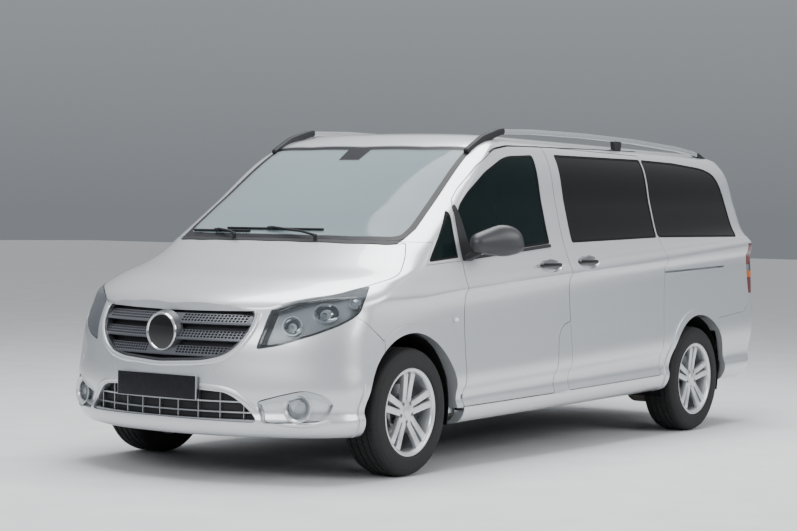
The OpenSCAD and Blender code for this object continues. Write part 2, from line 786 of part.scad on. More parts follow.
// Trailing arms from a crossmember of the floor, with a spring on each.
module rear_axle() {
    color("#3c3e42") at_axle(rear_y) {
        rotate([0, 90, 0]) translate([0, 0, 20 - kingpin_x]) cylinder(r = 36, h = 2 * kingpin_x - 40);
        both_sides() {
            rotate([0, 90, 0]) translate([0, 0, kingpin_x - 30]) cylinder(r = spindle_r, h = 89);
            translate([560, -640, -28]) cube([70, 660, 40]);
            translate([560, -640, 12]) cube([70, 50, beam_z - axle_z - 12.3]);
            translate([595, -130, 12]) cylinder(r = 45, h = up(floor_z) - 40 - axle_z - 12.3);
        }
    }
}
// Bands round the wheels, each with an inner wall that is open for the axle.
module arch_liners() {
    r = arch_r * cos(180 / 32) - 0.3;
    color(black) both_sides() for (y = [front_y, rear_y]) {
        inner = y < 0 ? 530 : 660;
        translate([inner, y, arch_z]) rotate([0, 90, 0]) difference() {
            cylinder(r = r, h = 885 - inner, $fn = 72);
            translate([0, 0, 4]) cylinder(r = r - 6, h = 900, $fn = 72);
            translate([100, -600, -10]) cube([600, 1200, 1000]);
            translate([-190, -75, -10]) cube([600, 150, 100]);
        }
    }
}
module cabin_trim(grow = 0.3) {
    intersection() {
        children();
        skin(wall + grow, roof_t + grow, 60, true);
    }
}
// Floor sheet on two rails and crossmembers, with a sill along each side.
beam_z = 352;
sill_y = -1110;
module floor_pan() {
    top = floor_z - 38;
    color("#4a4c50") pressed() difference() {
        union() {
            cabin_trim(6) block([-900, -1200, floor_z - 40], [900, 2480, floor_z]);
            cabin_trim() both_sides() {
                block([440, -1200, 378], [520, 2560, top]);
                block([780, sill_y, 286], [900, 1125, 320]);
                block([780, sill_y, 286], [800, 1125, top]);
            }
            for (y = [-1050, -300, 400]) block([-790, y, beam_z], [790, y + 60, top]);
            for (y = [905, 2050]) block([-640, y, beam_z], [640, y + 75, top]);
        }
        both_sides() {
            block([655, 1135, 100], [1000, 1975, 900]);
            block([780, -1300, 100], [1000, sill_y, 900]);
            block([745, -144, 100], [1000, -46, 900]);
        }
    }
}
module bulkhead() {
    color(black) pressed() difference() {
        union() {
            cabin_trim(9) block([-900, -1250, 382], [900, -1210, 1190]);
            cabin_trim() block([-900, -1250, 1120], [900, -1210, 1190]);
            cabin_trim(9) block([-760, -1660, 1130], [760, -1210, shelf_z]);
            block([-320, -1702, 1130], [360, -1655, shelf_z]);
            intersection() {
                layer(3, 25);
                plan_prism(cowl_line, 1130, 1300, -0.6);
            }
            intersection() {
                skin(20);
                plan_prism(cowl_line, 1140, 1300, -13);
                block([-560, -1800, 1100], [560, -1500, 1300]);
            }
        }
        for (x = [-hood_hinge_x, hood_hinge_x], s = [-41, 19])
            translate([x + s, aft(-1668), 1100]) cube([22, 178, 90]);
        hood_zone(seam);
        wheel_arches(arch_r + 1);
        for (p = wiper_posts) translate([across(p[0]), aft(p[1]), 1100]) cylinder(r = 10.4, h = 200);
        block([-1000, -1260, 322], [-790, -1200, 1120]);
        block([790, -1260, 322], [1000, -1200, 1120]);
    }
}
wiper_posts = [[-250, -1676], [300, -1668]];
wiper_reach = [[-325, 84], [-330, -4]];
module wipers() {
    color(black) for (i = [0, 1]) {
        p = wiper_posts[i];
        translate([across(p[0]), aft(p[1]), up(shelf_z)]) cylinder(r = 10, h = up(1232) - up(shelf_z));
        hull() {
            translate([across(p[0]), aft(p[1]), up(1232)]) sphere(r = 10, $fn = 12);
            translate([across(p[0] + wiper_reach[i][0]), aft(p[1] + wiper_reach[i][1]), up(1244)])
                sphere(r = 7, $fn = 12);
        }
    }
}
// One moulded profile from the seat's base to the top of its back, extruded across.
module seat_profile(w, points, round = 30) {
    translate([-w / 2, 0, 0]) rotate([90, 0, 90]) linear_extrude(height = w)
        offset(r = round, $fn = 20) offset(delta = -round) polygon(points);
}
module seat(w) {
    seat_profile(w, [[-500, 260], [-500, 395], [-60, 375], [60, 395], [210, 900], [120, 915], [40, 800],
        [-60, 400], [-20, 260]]);
    seat_profile(w, [[-60, 300], [-20, 480], [90, 900], [215, 900], [70, 300]]);
    translate([-w / 2 + 70, -440, 0]) cube([w - 140, 400, 262]);
}
module headrest() {
    seat_profile(230, [[125, 935], [150, 1085], [235, 1075], [210, 930]]);
    for (x = [-60, 60]) translate([x, 172, 850]) cylinder(r = 7, h = 130);
}
module seat_row(y, width, rests) {
    translate([0, aft(y), up(floor_z)]) scale([1, 1, 0.86]) {
        seat(width);
        for (x = rests) translate([x, 0, 0]) headrest();
    }
}
module front_seats() {
    color("#2b2c2f") for (x = [-400, 400]) translate([x, 0, 0]) seat_row(-240, seat_w, [0]);
}
module rear_seats() {
    color("#2b2c2f") {
        seat_row(760, 1300, [-430, 0, 430]);
        seat_row(1700, 1180, [-400, 0, 400]);
    }
}
module dashboard() {
    color("#26272a") difference() {
        translate([-across(770), 0, 0]) rotate([90, 0, 90]) linear_extrude(height = across(1540))
            polygon([[aft(-1209.7), up(floor_z + 320)], [aft(-1209.7), up(1160)], [aft(-1150), up(1185)],
                [aft(-1000), up(1150)], [aft(-930), up(1080)], [aft(-960), up(880)], [aft(-1100), up(800)]]);
        translate([0, aft(-955), up(1010)]) cube([260, 60, 120], center = true);
    }
    color("#26272a") at_steer() translate([0, 0, -160]) cylinder(r = 24, h = 152);
}
steer_at = [400, -800, 1120];
steer_lean = 62;
module at_steer() {
    translate([across(steer_at[0]), aft(steer_at[1]), up(steer_at[2])])
        rotate([-steer_lean, 0, 0]) children();
}
module steering_wheel() {
    color("#1c1d1f") at_steer() {
        r = steer_d / 2 - 15;
        rotate_extrude($fn = 72) translate([r, 0]) circle(r = 15, $fn = 24);
        translate([0, 0, -7]) cylinder(r = 62, h = 22, $fn = 40);
        for (a = [0, 120, 240]) rotate([0, 0, a + 90]) translate([40, -16, -6]) cube([r - 42, 32, 12]);
    }
}
module engine_block() {
    color("#6b6e72") block([-330, -2150, 305.3], [330, -1420, 800]);
}
module exhaust() {
    color("#7d7f82") {
        rod([300, aft(-1150), 236], [300, aft(2420), 236], 26);
        translate([300, aft(-700), 220]) rotate([-90, 0, 0]) cylinder(r = 62, h = 500);
        hull() for (x = [260, 420]) translate([x, aft(1990), 190]) rotate([-90, 0, 0])
            cylinder(r = 72, h = 380, $fn = 24);
        for (y = [-1035, 415, 2065]) translate([290, aft(y), 236]) cube([20, 20, up(beam_z) - 236.3]);
    }
}
module fuel_tank() {
    color("#2a2b2d") translate([across(-710), aft(-235), up(beam_z) - 140.3]) cube([390, 1060, 140]);
}

module side(name) {
    if (name == "right") mirror([1, 0, 0]) children(); else children();
}

floor_pan();
roof_panel();
front_wings();
bulkhead();
front_bumper();
grille();
lower_grille();
headlamps();
fog_lamps();
front_plate();
windscreen();
fixed_glass();
wipers();
rear_bumper();
tail_lamps();
roof_rails();
arch_liners();
door_hinges();
lid_hinges();
front_seats();
rear_seats();
dashboard();
engine_block();
front_subframe();
rear_axle();
exhaust();
fuel_tank();
hood();
tailgate();
tailgate_glass();
rear_plate();
steering_wheel();
side("left") side_frame();  // side_frame_left
side("right") side_frame();  // side_frame_right
side("left") sliding_door();  // sliding_door_left
side("right") sliding_door();  // sliding_door_right
side("left") front_door();  // front_door_left
side("right") front_door();  // front_door_right
side("left") door_glass();  // door_glass_left
side("right") door_glass();  // door_glass_right
side("left") door_trim();  // door_trim_left
side("right") door_trim();  // door_trim_right
side("left") knuckle();  // knuckle_left
side("right") knuckle();  // knuckle_right
side("left") at_axle(front_y) wheel_body();  // wheel_front_left
side("right") at_axle(front_y) wheel_body();  // wheel_front_right
side("left") at_axle(rear_y) wheel_body();  // wheel_rear_left
side("right") at_axle(rear_y) wheel_body();  // wheel_rear_right
side("left") at_axle(front_y) tyre_body();  // tyre_front_left
side("right") at_axle(front_y) tyre_body();  // tyre_front_right
side("left") at_axle(rear_y) tyre_body();  // tyre_rear_left
side("right") at_axle(rear_y) tyre_body();  // tyre_rear_right
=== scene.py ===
# %% [markdown]
# # A family minibus in its studio
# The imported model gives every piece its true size, place and joint. Here each visible
# surface gets its curve, its finish and its small parts. Lengths are given in millimetres,
# as on a drawing, and turned to metres in one place.

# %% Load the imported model
import bpy
from math import acos, atan2, ceil, cos, pi, radians, sin, sqrt
from mathutils import Matrix, Vector


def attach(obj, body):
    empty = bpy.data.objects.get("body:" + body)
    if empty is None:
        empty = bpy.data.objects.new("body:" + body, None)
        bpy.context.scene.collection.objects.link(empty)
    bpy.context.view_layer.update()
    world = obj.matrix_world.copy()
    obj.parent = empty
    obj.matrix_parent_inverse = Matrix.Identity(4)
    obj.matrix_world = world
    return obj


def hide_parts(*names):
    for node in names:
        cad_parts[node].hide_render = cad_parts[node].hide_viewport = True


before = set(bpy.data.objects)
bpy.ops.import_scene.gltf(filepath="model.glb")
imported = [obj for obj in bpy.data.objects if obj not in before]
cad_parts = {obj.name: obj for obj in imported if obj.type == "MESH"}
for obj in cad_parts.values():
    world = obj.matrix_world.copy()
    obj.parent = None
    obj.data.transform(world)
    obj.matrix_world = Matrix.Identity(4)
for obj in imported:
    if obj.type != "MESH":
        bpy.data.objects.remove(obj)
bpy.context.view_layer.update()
MM = 0.001

# %% [markdown]
# ## Finishes
# Every finish is named for the real material and how its surface was made. One function turns
# sRGB hex values to linear light, and one adds a node with its settings and links. Patterns read
# Object coordinates, so a scale is one over the real size of the grain in metres.

# %% Colour and node helpers
def linear(code):
    parts = [int(code[i:i + 2], 16) / 255 for i in (1, 3, 5)]
    return (*[c / 12.92 if c <= 0.04045 else ((c + 0.055) / 1.055) ** 2.4 for c in parts], 1)


def add(tree, kind, settings=None, links=None, **sockets):
    node = tree.nodes.new(kind)
    for key, value in (settings or {}).items():
        setattr(node, key, value)
    for key, value in sockets.items():
        node.inputs[key.replace("_", " ")].default_value = value
    for key, source in (links or {}).items():
        tree.links.new(source, node.inputs[key])
    return node


def material(name, colour, metallic=0.0, roughness=0.5, **sockets):
    made = bpy.data.materials.new(name)
    made.use_nodes = True
    tree = made.node_tree
    shader = tree.nodes["Principled BSDF"]
    shader.inputs["Base Color"].default_value = linear(colour)
    shader.inputs["Metallic"].default_value = metallic
    shader.inputs["Roughness"].default_value = roughness
    for key, value in sockets.items():
        shader.inputs[key.replace("_", " ")].default_value = value
    made.diffuse_color = linear(colour)
    return made, tree, shader


def grain(made, size_mm, bump_mm, colours=None, roughness=None, kind="ShaderNodeTexNoise", detail=3.0):
    """A pattern of the given grain size on colour, roughness and bump."""
    tree = made.node_tree
    shader = tree.nodes["Principled BSDF"]
    place = add(tree, "ShaderNodeTexCoord")
    sockets = {"Scale": 1 / (size_mm * MM)}
    if kind == "ShaderNodeTexNoise":
        sockets["Detail"] = detail
    pattern = add(tree, kind, links={"Vector": place.outputs["Object"]}, **sockets)
    value = pattern.outputs["Fac"] if "Fac" in pattern.outputs else pattern.outputs["Distance"]
    if colours:
        ramp = add(tree, "ShaderNodeValToRGB", links={"Fac": value})
        ramp.color_ramp.elements[0].position, ramp.color_ramp.elements[1].position = 0.35, 0.65
        ramp.color_ramp.elements[0].color = linear(colours[0])
        ramp.color_ramp.elements[1].color = linear(colours[1])
        tree.links.new(ramp.outputs["Color"], shader.inputs["Base Color"])
    if roughness:
        spread = add(tree, "ShaderNodeMapRange", links={"Value": value}, To_Min=roughness[0], To_Max=roughness[1])
        tree.links.new(spread.outputs["Result"], shader.inputs["Roughness"])
    if bump_mm:
        bump = add(tree, "ShaderNodeBump", links={"Height": value}, Strength=1.0, Distance=bump_mm * MM)
        tree.links.new(bump.outputs["Normal"], shader.inputs["Normal"])
    return made


# %% [markdown]
# The body colour is a silver metallic: aluminium flakes in a base coat under clear lacquer. The
# eye sees a grey that brightens where it faces a light, with a sharp gloss on top, so the
# metallic base is half rough and the coat is smooth. Flakes are far finer than a pixel here,
# so they are drawn 1.2 mm coarse and faint.

# %% Paint, plastics and rubber
paint = material("silver_metallic_lacquer", "#ced1d5", 0.7, 0.33, Coat_Weight=1.0, Coat_Roughness=0.035)[0]
grain(paint, 1.2, 0.0, colours=("#c8cbd0", "#d4d7da"), roughness=(0.31, 0.38))
lining = grain(material("grained_abs_cabin_trim", "#3a3b3e", 0, 0.62)[0], 1.6, 0.12, ("#343538", "#404145"))
rubber = grain(material("extruded_epdm_seal", "#0d0d0e", 0, 0.75, Specular_IOR_Level=0.15)[0], 2.0, 0.08, ("#0b0b0c", "#121213"))
gloss_black = grain(material("piano_black_acrylic", "#08090a", 0, 0.12, Coat_Weight=0.6, Coat_Roughness=0.04)[0],
    30, 0.0, ("#07080a", "#0b0c0e"))
moulded_black = grain(material("textured_black_polypropylene", "#17181a", 0, 0.55, Specular_IOR_Level=0.3)[0], 1.4, 0.15,
    ("#17181a", "#222326"), (0.48, 0.62))
mirror_cap = grain(material("satin_grey_black_mirror_cap", "#2c2d30", 0, 0.38)[0], 1.8, 0.05,
    ("#27282b", "#313236"), (0.34, 0.44))
grille_grey = grain(material("dark_grey_moulded_grille", "#3c3d41", 0.15, 0.4)[0], 2.0, 0.05,
    ("#36373b", "#434449"), (0.34, 0.48))
bright_grey = grain(material("silver_grey_grille_blade", "#585a60", 0.45, 0.36)[0], 2.0, 0.04,
    ("#515359", "#5f6167"), (0.3, 0.42))
headliner = grain(material("felt_headliner", "#8c8b86", 0, 0.95)[0], 1.5, 0.2, ("#83827d", "#95948f"))
carpet = grain(material("needle_felt_carpet", "#1d1e20", 0, 0.98)[0], 3.0, 0.9, ("#141517", "#292a2d"))
tank_plastic = grain(material("blown_hdpe_tank", "#151617", 0, 0.5)[0], 5.0, 0.3, ("#111213", "#1b1c1e"))
dash_skin = grain(material("soft_touch_dashboard_skin", "#26272a", 0, 0.7)[0], 1.1, 0.2, ("#212225", "#2c2d31"),
    kind="ShaderNodeTexVoronoi")
wheel_leather = grain(material("stitched_steering_leather", "#161618", 0, 0.5)[0], 1.3, 0.12, ("#121214", "#1c1c1f"),
    kind="ShaderNodeTexVoronoi")

# %% [markdown]
# Metals: a polished chrome ring, anodised rails, lacquered cast wheels and the dull steels below.
# A metal has no grain of colour, so what varies is its roughness.

# %% Metals
chrome = grain(material("polished_chrome_plate", "#e4e6e8", 1, 0.08)[0], 60, 0, roughness=(0.05, 0.12))
anodised = grain(material("anodised_aluminium_extrusion", "#e3e5e7", 0.85, 0.3)[0], 4, 0.02, roughness=(0.22, 0.34))
cast_alloy = grain(material("lacquered_cast_aluminium", "#d2d5d8", 0.75, 0.3, Coat_Weight=0.5, Coat_Roughness=0.1)[0],
    3, 0.02, ("#cccfd2", "#d9dbde"), (0.26, 0.36))
bright_bar = grain(material("satin_silver_grille_bar", "#a4a7ab", 0.9, 0.33)[0], 4, 0.02, roughness=(0.27, 0.4))
machined = grain(material("machined_cast_iron", "#8a8b8c", 1, 0.35)[0], 1.2, 0.03, roughness=(0.28, 0.45))
cast_iron = grain(material("sand_cast_iron", "#3b3c3e", 0.6, 0.65)[0], 3.0, 0.35, ("#303133", "#47484a"), (0.55, 0.8))
black_steel = grain(material("electrocoated_chassis_steel", "#1a1b1d", 0.2, 0.5)[0], 6.0, 0.1, ("#151618", "#222326"),
    (0.42, 0.62))
exhaust_steel = grain(material("heat_dulled_stainless_tube", "#85837e", 1, 0.4)[0], 20, 0.05, ("#77736b", "#93918d"),
    (0.32, 0.55))
hinge_steel = grain(material("zinc_plated_hinge_steel", "#9a9b98", 1, 0.36)[0], 3, 0.03, roughness=(0.3, 0.45))
engine_alloy = grain(material("grey_cast_engine_block", "#6f7173", 0.7, 0.6)[0], 4.0, 0.3, ("#626466", "#7b7d7f"))

# %% [markdown]
# Glass: float glass is clear with a faint green-blue tint, laminated for the screen. The rear
# panes are privacy glass, tinted in the melt until they look black. Lamp lenses are clear
# polycarbonate. Thin sheets bend light hardly at all, so the screens mix a tinted see-through
# part with a glossy one by angle, which also shows the seats behind. The glossy part's light
# grey base colour on the windscreen and the lamp lenses is painted reflection; on the door and
# privacy panes its dark base colour is their tint.

# %% Glass and lamps
def sheet_glass(name, tint_and_painted_reflection, clear, roughness=0.02):
    made = bpy.data.materials.new(name)
    made.use_nodes = True
    tree = made.node_tree
    shader = tree.nodes["Principled BSDF"]
    shader.inputs["Base Color"].default_value = linear(tint_and_painted_reflection)
    shader.inputs["Roughness"].default_value = roughness
    shader.inputs["IOR"].default_value = 1.52
    shader.inputs["Specular IOR Level"].default_value = 0.6
    see = add(tree, "ShaderNodeBsdfTransparent", Color=linear(clear[0]))
    edge = add(tree, "ShaderNodeLayerWeight", Blend=0.32)
    spread = add(tree, "ShaderNodeMapRange", links={"Value": edge.outputs["Fresnel"]},
        From_Min=0.0, From_Max=1.0, To_Min=clear[1], To_Max=1.0)
    mix = add(tree, "ShaderNodeMixShader", links={"Fac": spread.outputs["Result"], 1: see.outputs["BSDF"],
        2: shader.outputs["BSDF"]})
    tree.links.new(mix.outputs["Shader"], tree.nodes["Material Output"].inputs["Surface"])
    return made


# The light base colours of the windscreen and the lamp lens are painted reflection; the dark ones of the side panes are
# their tint.
screen_glass = sheet_glass("laminated_windscreen_glass", "#a3b0b6", ("#c3d2d2", 0.34), 0.07)
door_pane = sheet_glass("tinted_door_glass", "#28383a", ("#93a6a1", 0.14))
privacy_glass = sheet_glass("privacy_glass", "#08090b", ("#16191c", 0.62))
clear_lens = sheet_glass("clear_polycarbonate_lens", "#8d9297", ("#f4f6f7", 0.04))
frit = grain(material("fired_black_enamel_border", "#16161a", 0, 0.42, Specular_IOR_Level=0.2)[0], 30, 0, ("#141418", "#1a1a1f"))
red_lens = material("red_acrylic_lens", "#5c070c", 0, 0.12, Coat_Weight=1.0, Coat_Roughness=0.03,
    Emission_Strength=0.0)[0]
grain(red_lens, 5.0, 0.5, ("#4d060a", "#6a0a10"), kind="ShaderNodeTexVoronoi")
amber_lens = grain(material("amber_acrylic_lens", "#b0560c", 0, 0.15)[0], 4.0, 0.4, ("#a04b08", "#c2640f"))
mirror_glass = grain(material("silvered_mirror_glass", "#dfe4e6", 1, 0.03)[0], 80, 0, roughness=(0.02, 0.05))
reflector = grain(material("vacuum_metallised_reflector", "#dadde0", 1, 0.1)[0], 8, 0.1, roughness=(0.07, 0.16))
lamp_grey = grain(material("satin_grey_lamp_bezel", "#b6babe", 0.25, 0.3)[0], 3, 0.05, ("#aeb2b6", "#bfc3c7"))
lamp_white = grain(material("frosted_white_lens", "#e6e8ea", 0, 0.22, Coat_Weight=0.6)[0], 3, 0.05, ("#dfe1e3", "#ecedee"))
tyre_rubber = grain(material("vulcanised_tyre_rubber", "#0f0f10", 0, 0.78)[0], 2.4, 0.25, ("#0c0c0d", "#141415"),
    (0.7, 0.88))

# %% [markdown]
# Seats are covered in a woven cloth. Threads about 1 mm apart can't be seen at this distance,
# so the weave is drawn at 4 mm from two crossed waves, on colour and bump.

# %% Woven seat cloth
seat_cloth, tree, shader = material("woven_polyester_seat_cloth", "#26272b", 0, 0.92, Sheen_Weight=0.3)
place = add(tree, "ShaderNodeTexCoord")
waves = [add(tree, "ShaderNodeTexWave", {"bands_direction": d}, {"Vector": place.outputs["Object"]},
    Scale=1 / (4 * MM) / 20, Distortion=0.4) for d in ("X", "Y")]
weave = add(tree, "ShaderNodeMath", {"operation": "MULTIPLY"}, {0: waves[0].outputs["Fac"], 1: waves[1].outputs["Fac"]})
tones = add(tree, "ShaderNodeValToRGB", links={"Fac": weave.outputs["Value"]})
tones.color_ramp.elements[0].color, tones.color_ramp.elements[1].color = linear("#1c1d20"), linear("#35363b")
tree.links.new(tones.outputs["Color"], shader.inputs["Base Color"])
bump = add(tree, "ShaderNodeBump", links={"Height": weave.outputs["Value"]}, Strength=0.6, Distance=0.6 * MM)
tree.links.new(bump.outputs["Normal"], shader.inputs["Normal"])
print(len(bpy.data.materials), "finishes")

# %% [markdown]
# ## Modelling helpers
# Pieces start from a primitive and are shaped with operators. Operators act on all that is
# selected, so one helper selects a single piece, and one runs a modifier and applies it.

# %% Selecting, shaping and cutting
def only(obj):
    bpy.ops.object.select_all(action="DESELECT")
    obj.select_set(True)
    bpy.context.view_layer.objects.active = obj
    return obj


def modify(obj, kind, **settings):
    only(obj)
    step = obj.modifiers.new(kind.lower(), kind)
    for key, value in settings.items():
        setattr(step, key, value)
    bpy.ops.object.modifier_apply(modifier=step.name)
    return obj


def edit(obj, *steps):
    """Runs edit-mode operators on all of a mesh."""
    only(obj)
    bpy.ops.object.mode_set(mode="EDIT")
    for step, settings in steps:
        bpy.ops.mesh.select_all(action="SELECT")
        step(**settings)
    bpy.ops.object.mode_set(mode="OBJECT")
    return obj


def coat(obj, *finishes, smooth=35):
    obj.data.materials.clear()
    for finish in finishes:
        obj.data.materials.append(finish)
    only(obj)
    bpy.ops.object.shade_smooth_by_angle(angle=radians(smooth))
    return obj


def place_in_mesh(obj):
    only(obj)
    bpy.ops.object.transform_apply(location=True, rotation=True, scale=True)
    return obj


def copied(obj, name):
    twin = obj.copy()
    twin.data = obj.data.copy()
    twin.name = name
    bpy.context.collection.objects.link(twin)
    return twin


def moved(obj, matrix):
    obj.data.transform(matrix)
    if matrix.determinant() < 0:
        obj.data.flip_normals()
    obj.data.update()
    return obj


def mirrored(obj, name):
    return moved(copied(obj, name), Matrix.Scale(-1, 4, (1, 0, 0)))


def joined(name, objs):
    bpy.ops.object.select_all(action="DESELECT")
    for o in objs:
        o.select_set(True)
    bpy.context.view_layer.objects.active = objs[0]
    if len(objs) > 1:
        bpy.ops.object.join()
    objs[0].name = name
    return objs[0]


def carve(piece, how, *tools, keep=False):
    for tool in tools:
        modify(piece, "BOOLEAN", object=tool, operation=how, solver="MANIFOLD")
        if not keep:
            bpy.data.objects.remove(tool)
    return piece


def seat_on(body, node_slot, *objs, replaces=()):
    for o in objs:
        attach(o, body)
    if replaces:
        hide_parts(*replaces)


# %% Primitives at their place
def block(lo, hi, bevel=0, segments=3, name="block"):
    bpy.ops.object.select_all(action="DESELECT")
    centre = [(a + b) / 2 * MM for a, b in zip(lo, hi)]
    bpy.ops.mesh.primitive_cube_add(size=1, location=centre)
    obj = bpy.context.object
    obj.scale = [(b - a) * MM for a, b in zip(lo, hi)]
    obj.name = name
    place_in_mesh(obj)
    if bevel:
        edit(obj, (bpy.ops.mesh.bevel, {"offset": bevel * MM, "segments": segments, "affect": "EDGES"}))
    return obj


def drum(centre, axis, r, h, sides=48, r2=None, bevel=0, name="drum"):
    """A disc or cone frustum along an axis, from centre over h."""
    bpy.ops.object.select_all(action="DESELECT")
    bpy.ops.mesh.primitive_cone_add(vertices=sides, radius1=r * MM, radius2=(r if r2 is None else r2) * MM,
        depth=h * MM, location=(0, 0, h / 2 * MM))
    obj = bpy.context.object
    obj.name = name
    place_in_mesh(obj)
    if bevel:
        edit(obj, (bpy.ops.mesh.bevel, {"offset": bevel * MM, "segments": 3, "affect": "EDGES"}))
    turn = Vector(axis).to_track_quat("Z", "Y").to_matrix().to_4x4()
    return moved(obj, Matrix.Translation(Vector(centre) * MM) @ turn)


def lathe(profile, centre=(0, 0, 0), axis=(1, 0, 0), steps=72, name="lathe"):
    """Spins a closed profile of (along, radius) points round an axis."""
    bpy.ops.object.select_all(action="DESELECT")
    bpy.ops.mesh.primitive_circle_add(vertices=len(profile), fill_type="NOTHING")
    obj = bpy.context.object
    obj.name = name
    for v, (along, r) in zip(obj.data.vertices, profile):
        v.co = (r * MM, 0, along * MM)
    only(obj)
    bpy.ops.object.mode_set(mode="EDIT")
    bpy.ops.mesh.select_all(action="SELECT")
    bpy.ops.mesh.spin(steps=steps, angle=2 * pi, center=(0, 0, 0), axis=(0, 0, 1))
    bpy.ops.mesh.select_all(action="SELECT")
    bpy.ops.mesh.remove_doubles(threshold=0.00002)
    bpy.ops.mesh.normals_make_consistent(inside=False)
    bpy.ops.object.mode_set(mode="OBJECT")
    turn = Vector(axis).to_track_quat("Z", "Y").to_matrix().to_4x4()
    return moved(obj, Matrix.Translation(Vector(centre) * MM) @ turn)


def ball(centre, radii, rings=24, name="ball"):
    bpy.ops.object.select_all(action="DESELECT")
    bpy.ops.mesh.primitive_uv_sphere_add(segments=2 * rings, ring_count=rings, radius=1)
    obj = bpy.context.object
    obj.name = name
    return moved(obj, Matrix.Translation(Vector(centre) * MM) @ Matrix.Diagonal((*[r * MM for r in radii], 1)))


def tube(points, radius, sides=4, name="tube", flat=1.0):
    """A round bar along points, from a curve that is made a mesh."""
    data = bpy.data.curves.new(name, "CURVE")
    data.dimensions, data.bevel_depth, data.bevel_resolution, data.use_fill_caps = "3D", radius * MM, sides, True
    line = data.splines.new("POLY")
    line.points.add(len(points) - 1)
    for p, at in zip(line.points, points):
        p.co = (*[c * MM for c in at], 1)
    obj = bpy.data.objects.new(name, data)
    bpy.context.collection.objects.link(obj)
    only(obj)
    bpy.ops.object.convert(target="MESH")
    return edit(bpy.context.object, (bpy.ops.mesh.remove_doubles, {"threshold": 0.00001}),
        (bpy.ops.mesh.normals_make_consistent, {"inside": False}))


def prism(points, axis, lo, hi, index=0, name="tool"):
    """An outline in the two other axes, extruded along axis from lo to hi."""
    bpy.ops.object.select_all(action="DESELECT")
    bpy.ops.mesh.primitive_circle_add(vertices=len(points), fill_type="NGON")
    obj = bpy.context.object
    obj.name = name
    put = {"x": lambda a, b, c: (c, a, b), "y": lambda a, b, c: (a, c, b), "z": lambda a, b, c: (a, b, c)}[axis]
    for v, (a, b) in zip(obj.data.vertices, points):
        v.co = Vector(put(a, b, lo)) * MM
    edit(obj, (bpy.ops.mesh.extrude_region_move, {"TRANSFORM_OT_translate": {"value": Vector(put(0, 0, hi - lo)) * MM}}),
        (bpy.ops.mesh.normals_make_consistent, {"inside": False}))
    for f in obj.data.polygons:
        f.material_index = index
    return obj


# %% Outlines
def grown(points, d):
    """Moves each side of an outline out by d."""
    n = len(points)
    area = sum(points[i][0] * points[(i + 1) % n][1] - points[(i + 1) % n][0] * points[i][1] for i in range(n))
    turn = 1 if area > 0 else -1
    out = []
    for i in range(n):
        p, a, b = (Vector(points[j % n]) for j in (i, i - 1, i + 1))
        u, v = (p - a).normalized(), (b - p).normalized()
        n1, n2 = Vector((u.y, -u.x)) * turn, Vector((v.y, -v.x)) * turn
        out.append(tuple(p + (n1 + n2) * (d / max(1 + n1.dot(n2), 0.2))))
    return out


def rounded(points, r, steps=6):
    """Rounds each corner of an outline with a curve that touches both sides, wide ones far more."""
    n, out = len(points), []
    for i in range(n):
        p, a, b = (Vector(points[j % n]) for j in (i, i - 1, i + 1))
        u, v = (a - p), (b - p)
        half = acos(max(-1, min(1, u.normalized().dot(v.normalized())))) / 2
        if half > 1.52:
            out.append(tuple(p))
            continue
        swing = r if half < 1.1 else 26 * r
        reach = min(swing / max(abs(sin(half) / cos(half)), 0.05), u.length * 0.48, v.length * 0.48)
        s, e = p + u.normalized() * reach, p + v.normalized() * reach
        for k in range(steps + 1):
            t = k / steps
            out.append(tuple(s * (1 - t) ** 2 + p * 2 * t * (1 - t) + e * t * t))
    return out


def both(points):
    return points + [(-x, y) for x, y in reversed(points) if x > 0]


# %% [markdown]
# ## The body's skin
# A pressed body is one flowing surface cut into panels. No operator gives that surface, so it
# is computed: the rows below are level sections of the body, each a rounded plan shape, and a
# smooth curve runs through them from sill to roof. The panels are then cut from a shell of
# this surface with the outlines of the real seams, which is how a body engineer works too.

# %% Sections of the body, in millimetres
ROWS = [  # height, rise to the tail, half width, nose, corner length, nose sweep, tail
    [228, 70, 850, -2480, 210, 230, 2455], [240, 80, 905, -2548, 225, 250, 2510],
    [322, 96, 946, -2570, 230, 260, 2552], [350, 102, 936, -2564, 230, 260, 2557],
    [460, 174, 958, -2570, 230, 262, 2573], [600, 220, 948, -2562, 235, 262, 2578],
    [740, 260, 944, -2540, 250, 260, 2572], [860, 285, 951, -2480, 280, 250, 2549],
    [912, 285, 962, -2438, 290, 245, 2538], [1000, 240, 940, -2270, 300, 222, 2526],
    [1080, 180, 919, -2020, 300, 205, 2516], [1218, 96, 884, -1672, 183, 144, 2506],
    [1400, 50, 842, -1380, 160, 120, 2484], [1700, 0, 769, -902, 115, 72, 2404],
    [1760, -18, 735, -800, 120, 66, 2365], [1800, -29, 660, -705, 145, 66, 2285],
    [1828, -30, 450, -540, 145, 55, 2100], [1837, -30, 120, -320, 110, 20, 1820]]
CORNER = 2.6
TAIL_CORNER, TAIL_SWEEP = 200, 50


def clamp(v, lo, hi):
    return min(hi, max(lo, v))


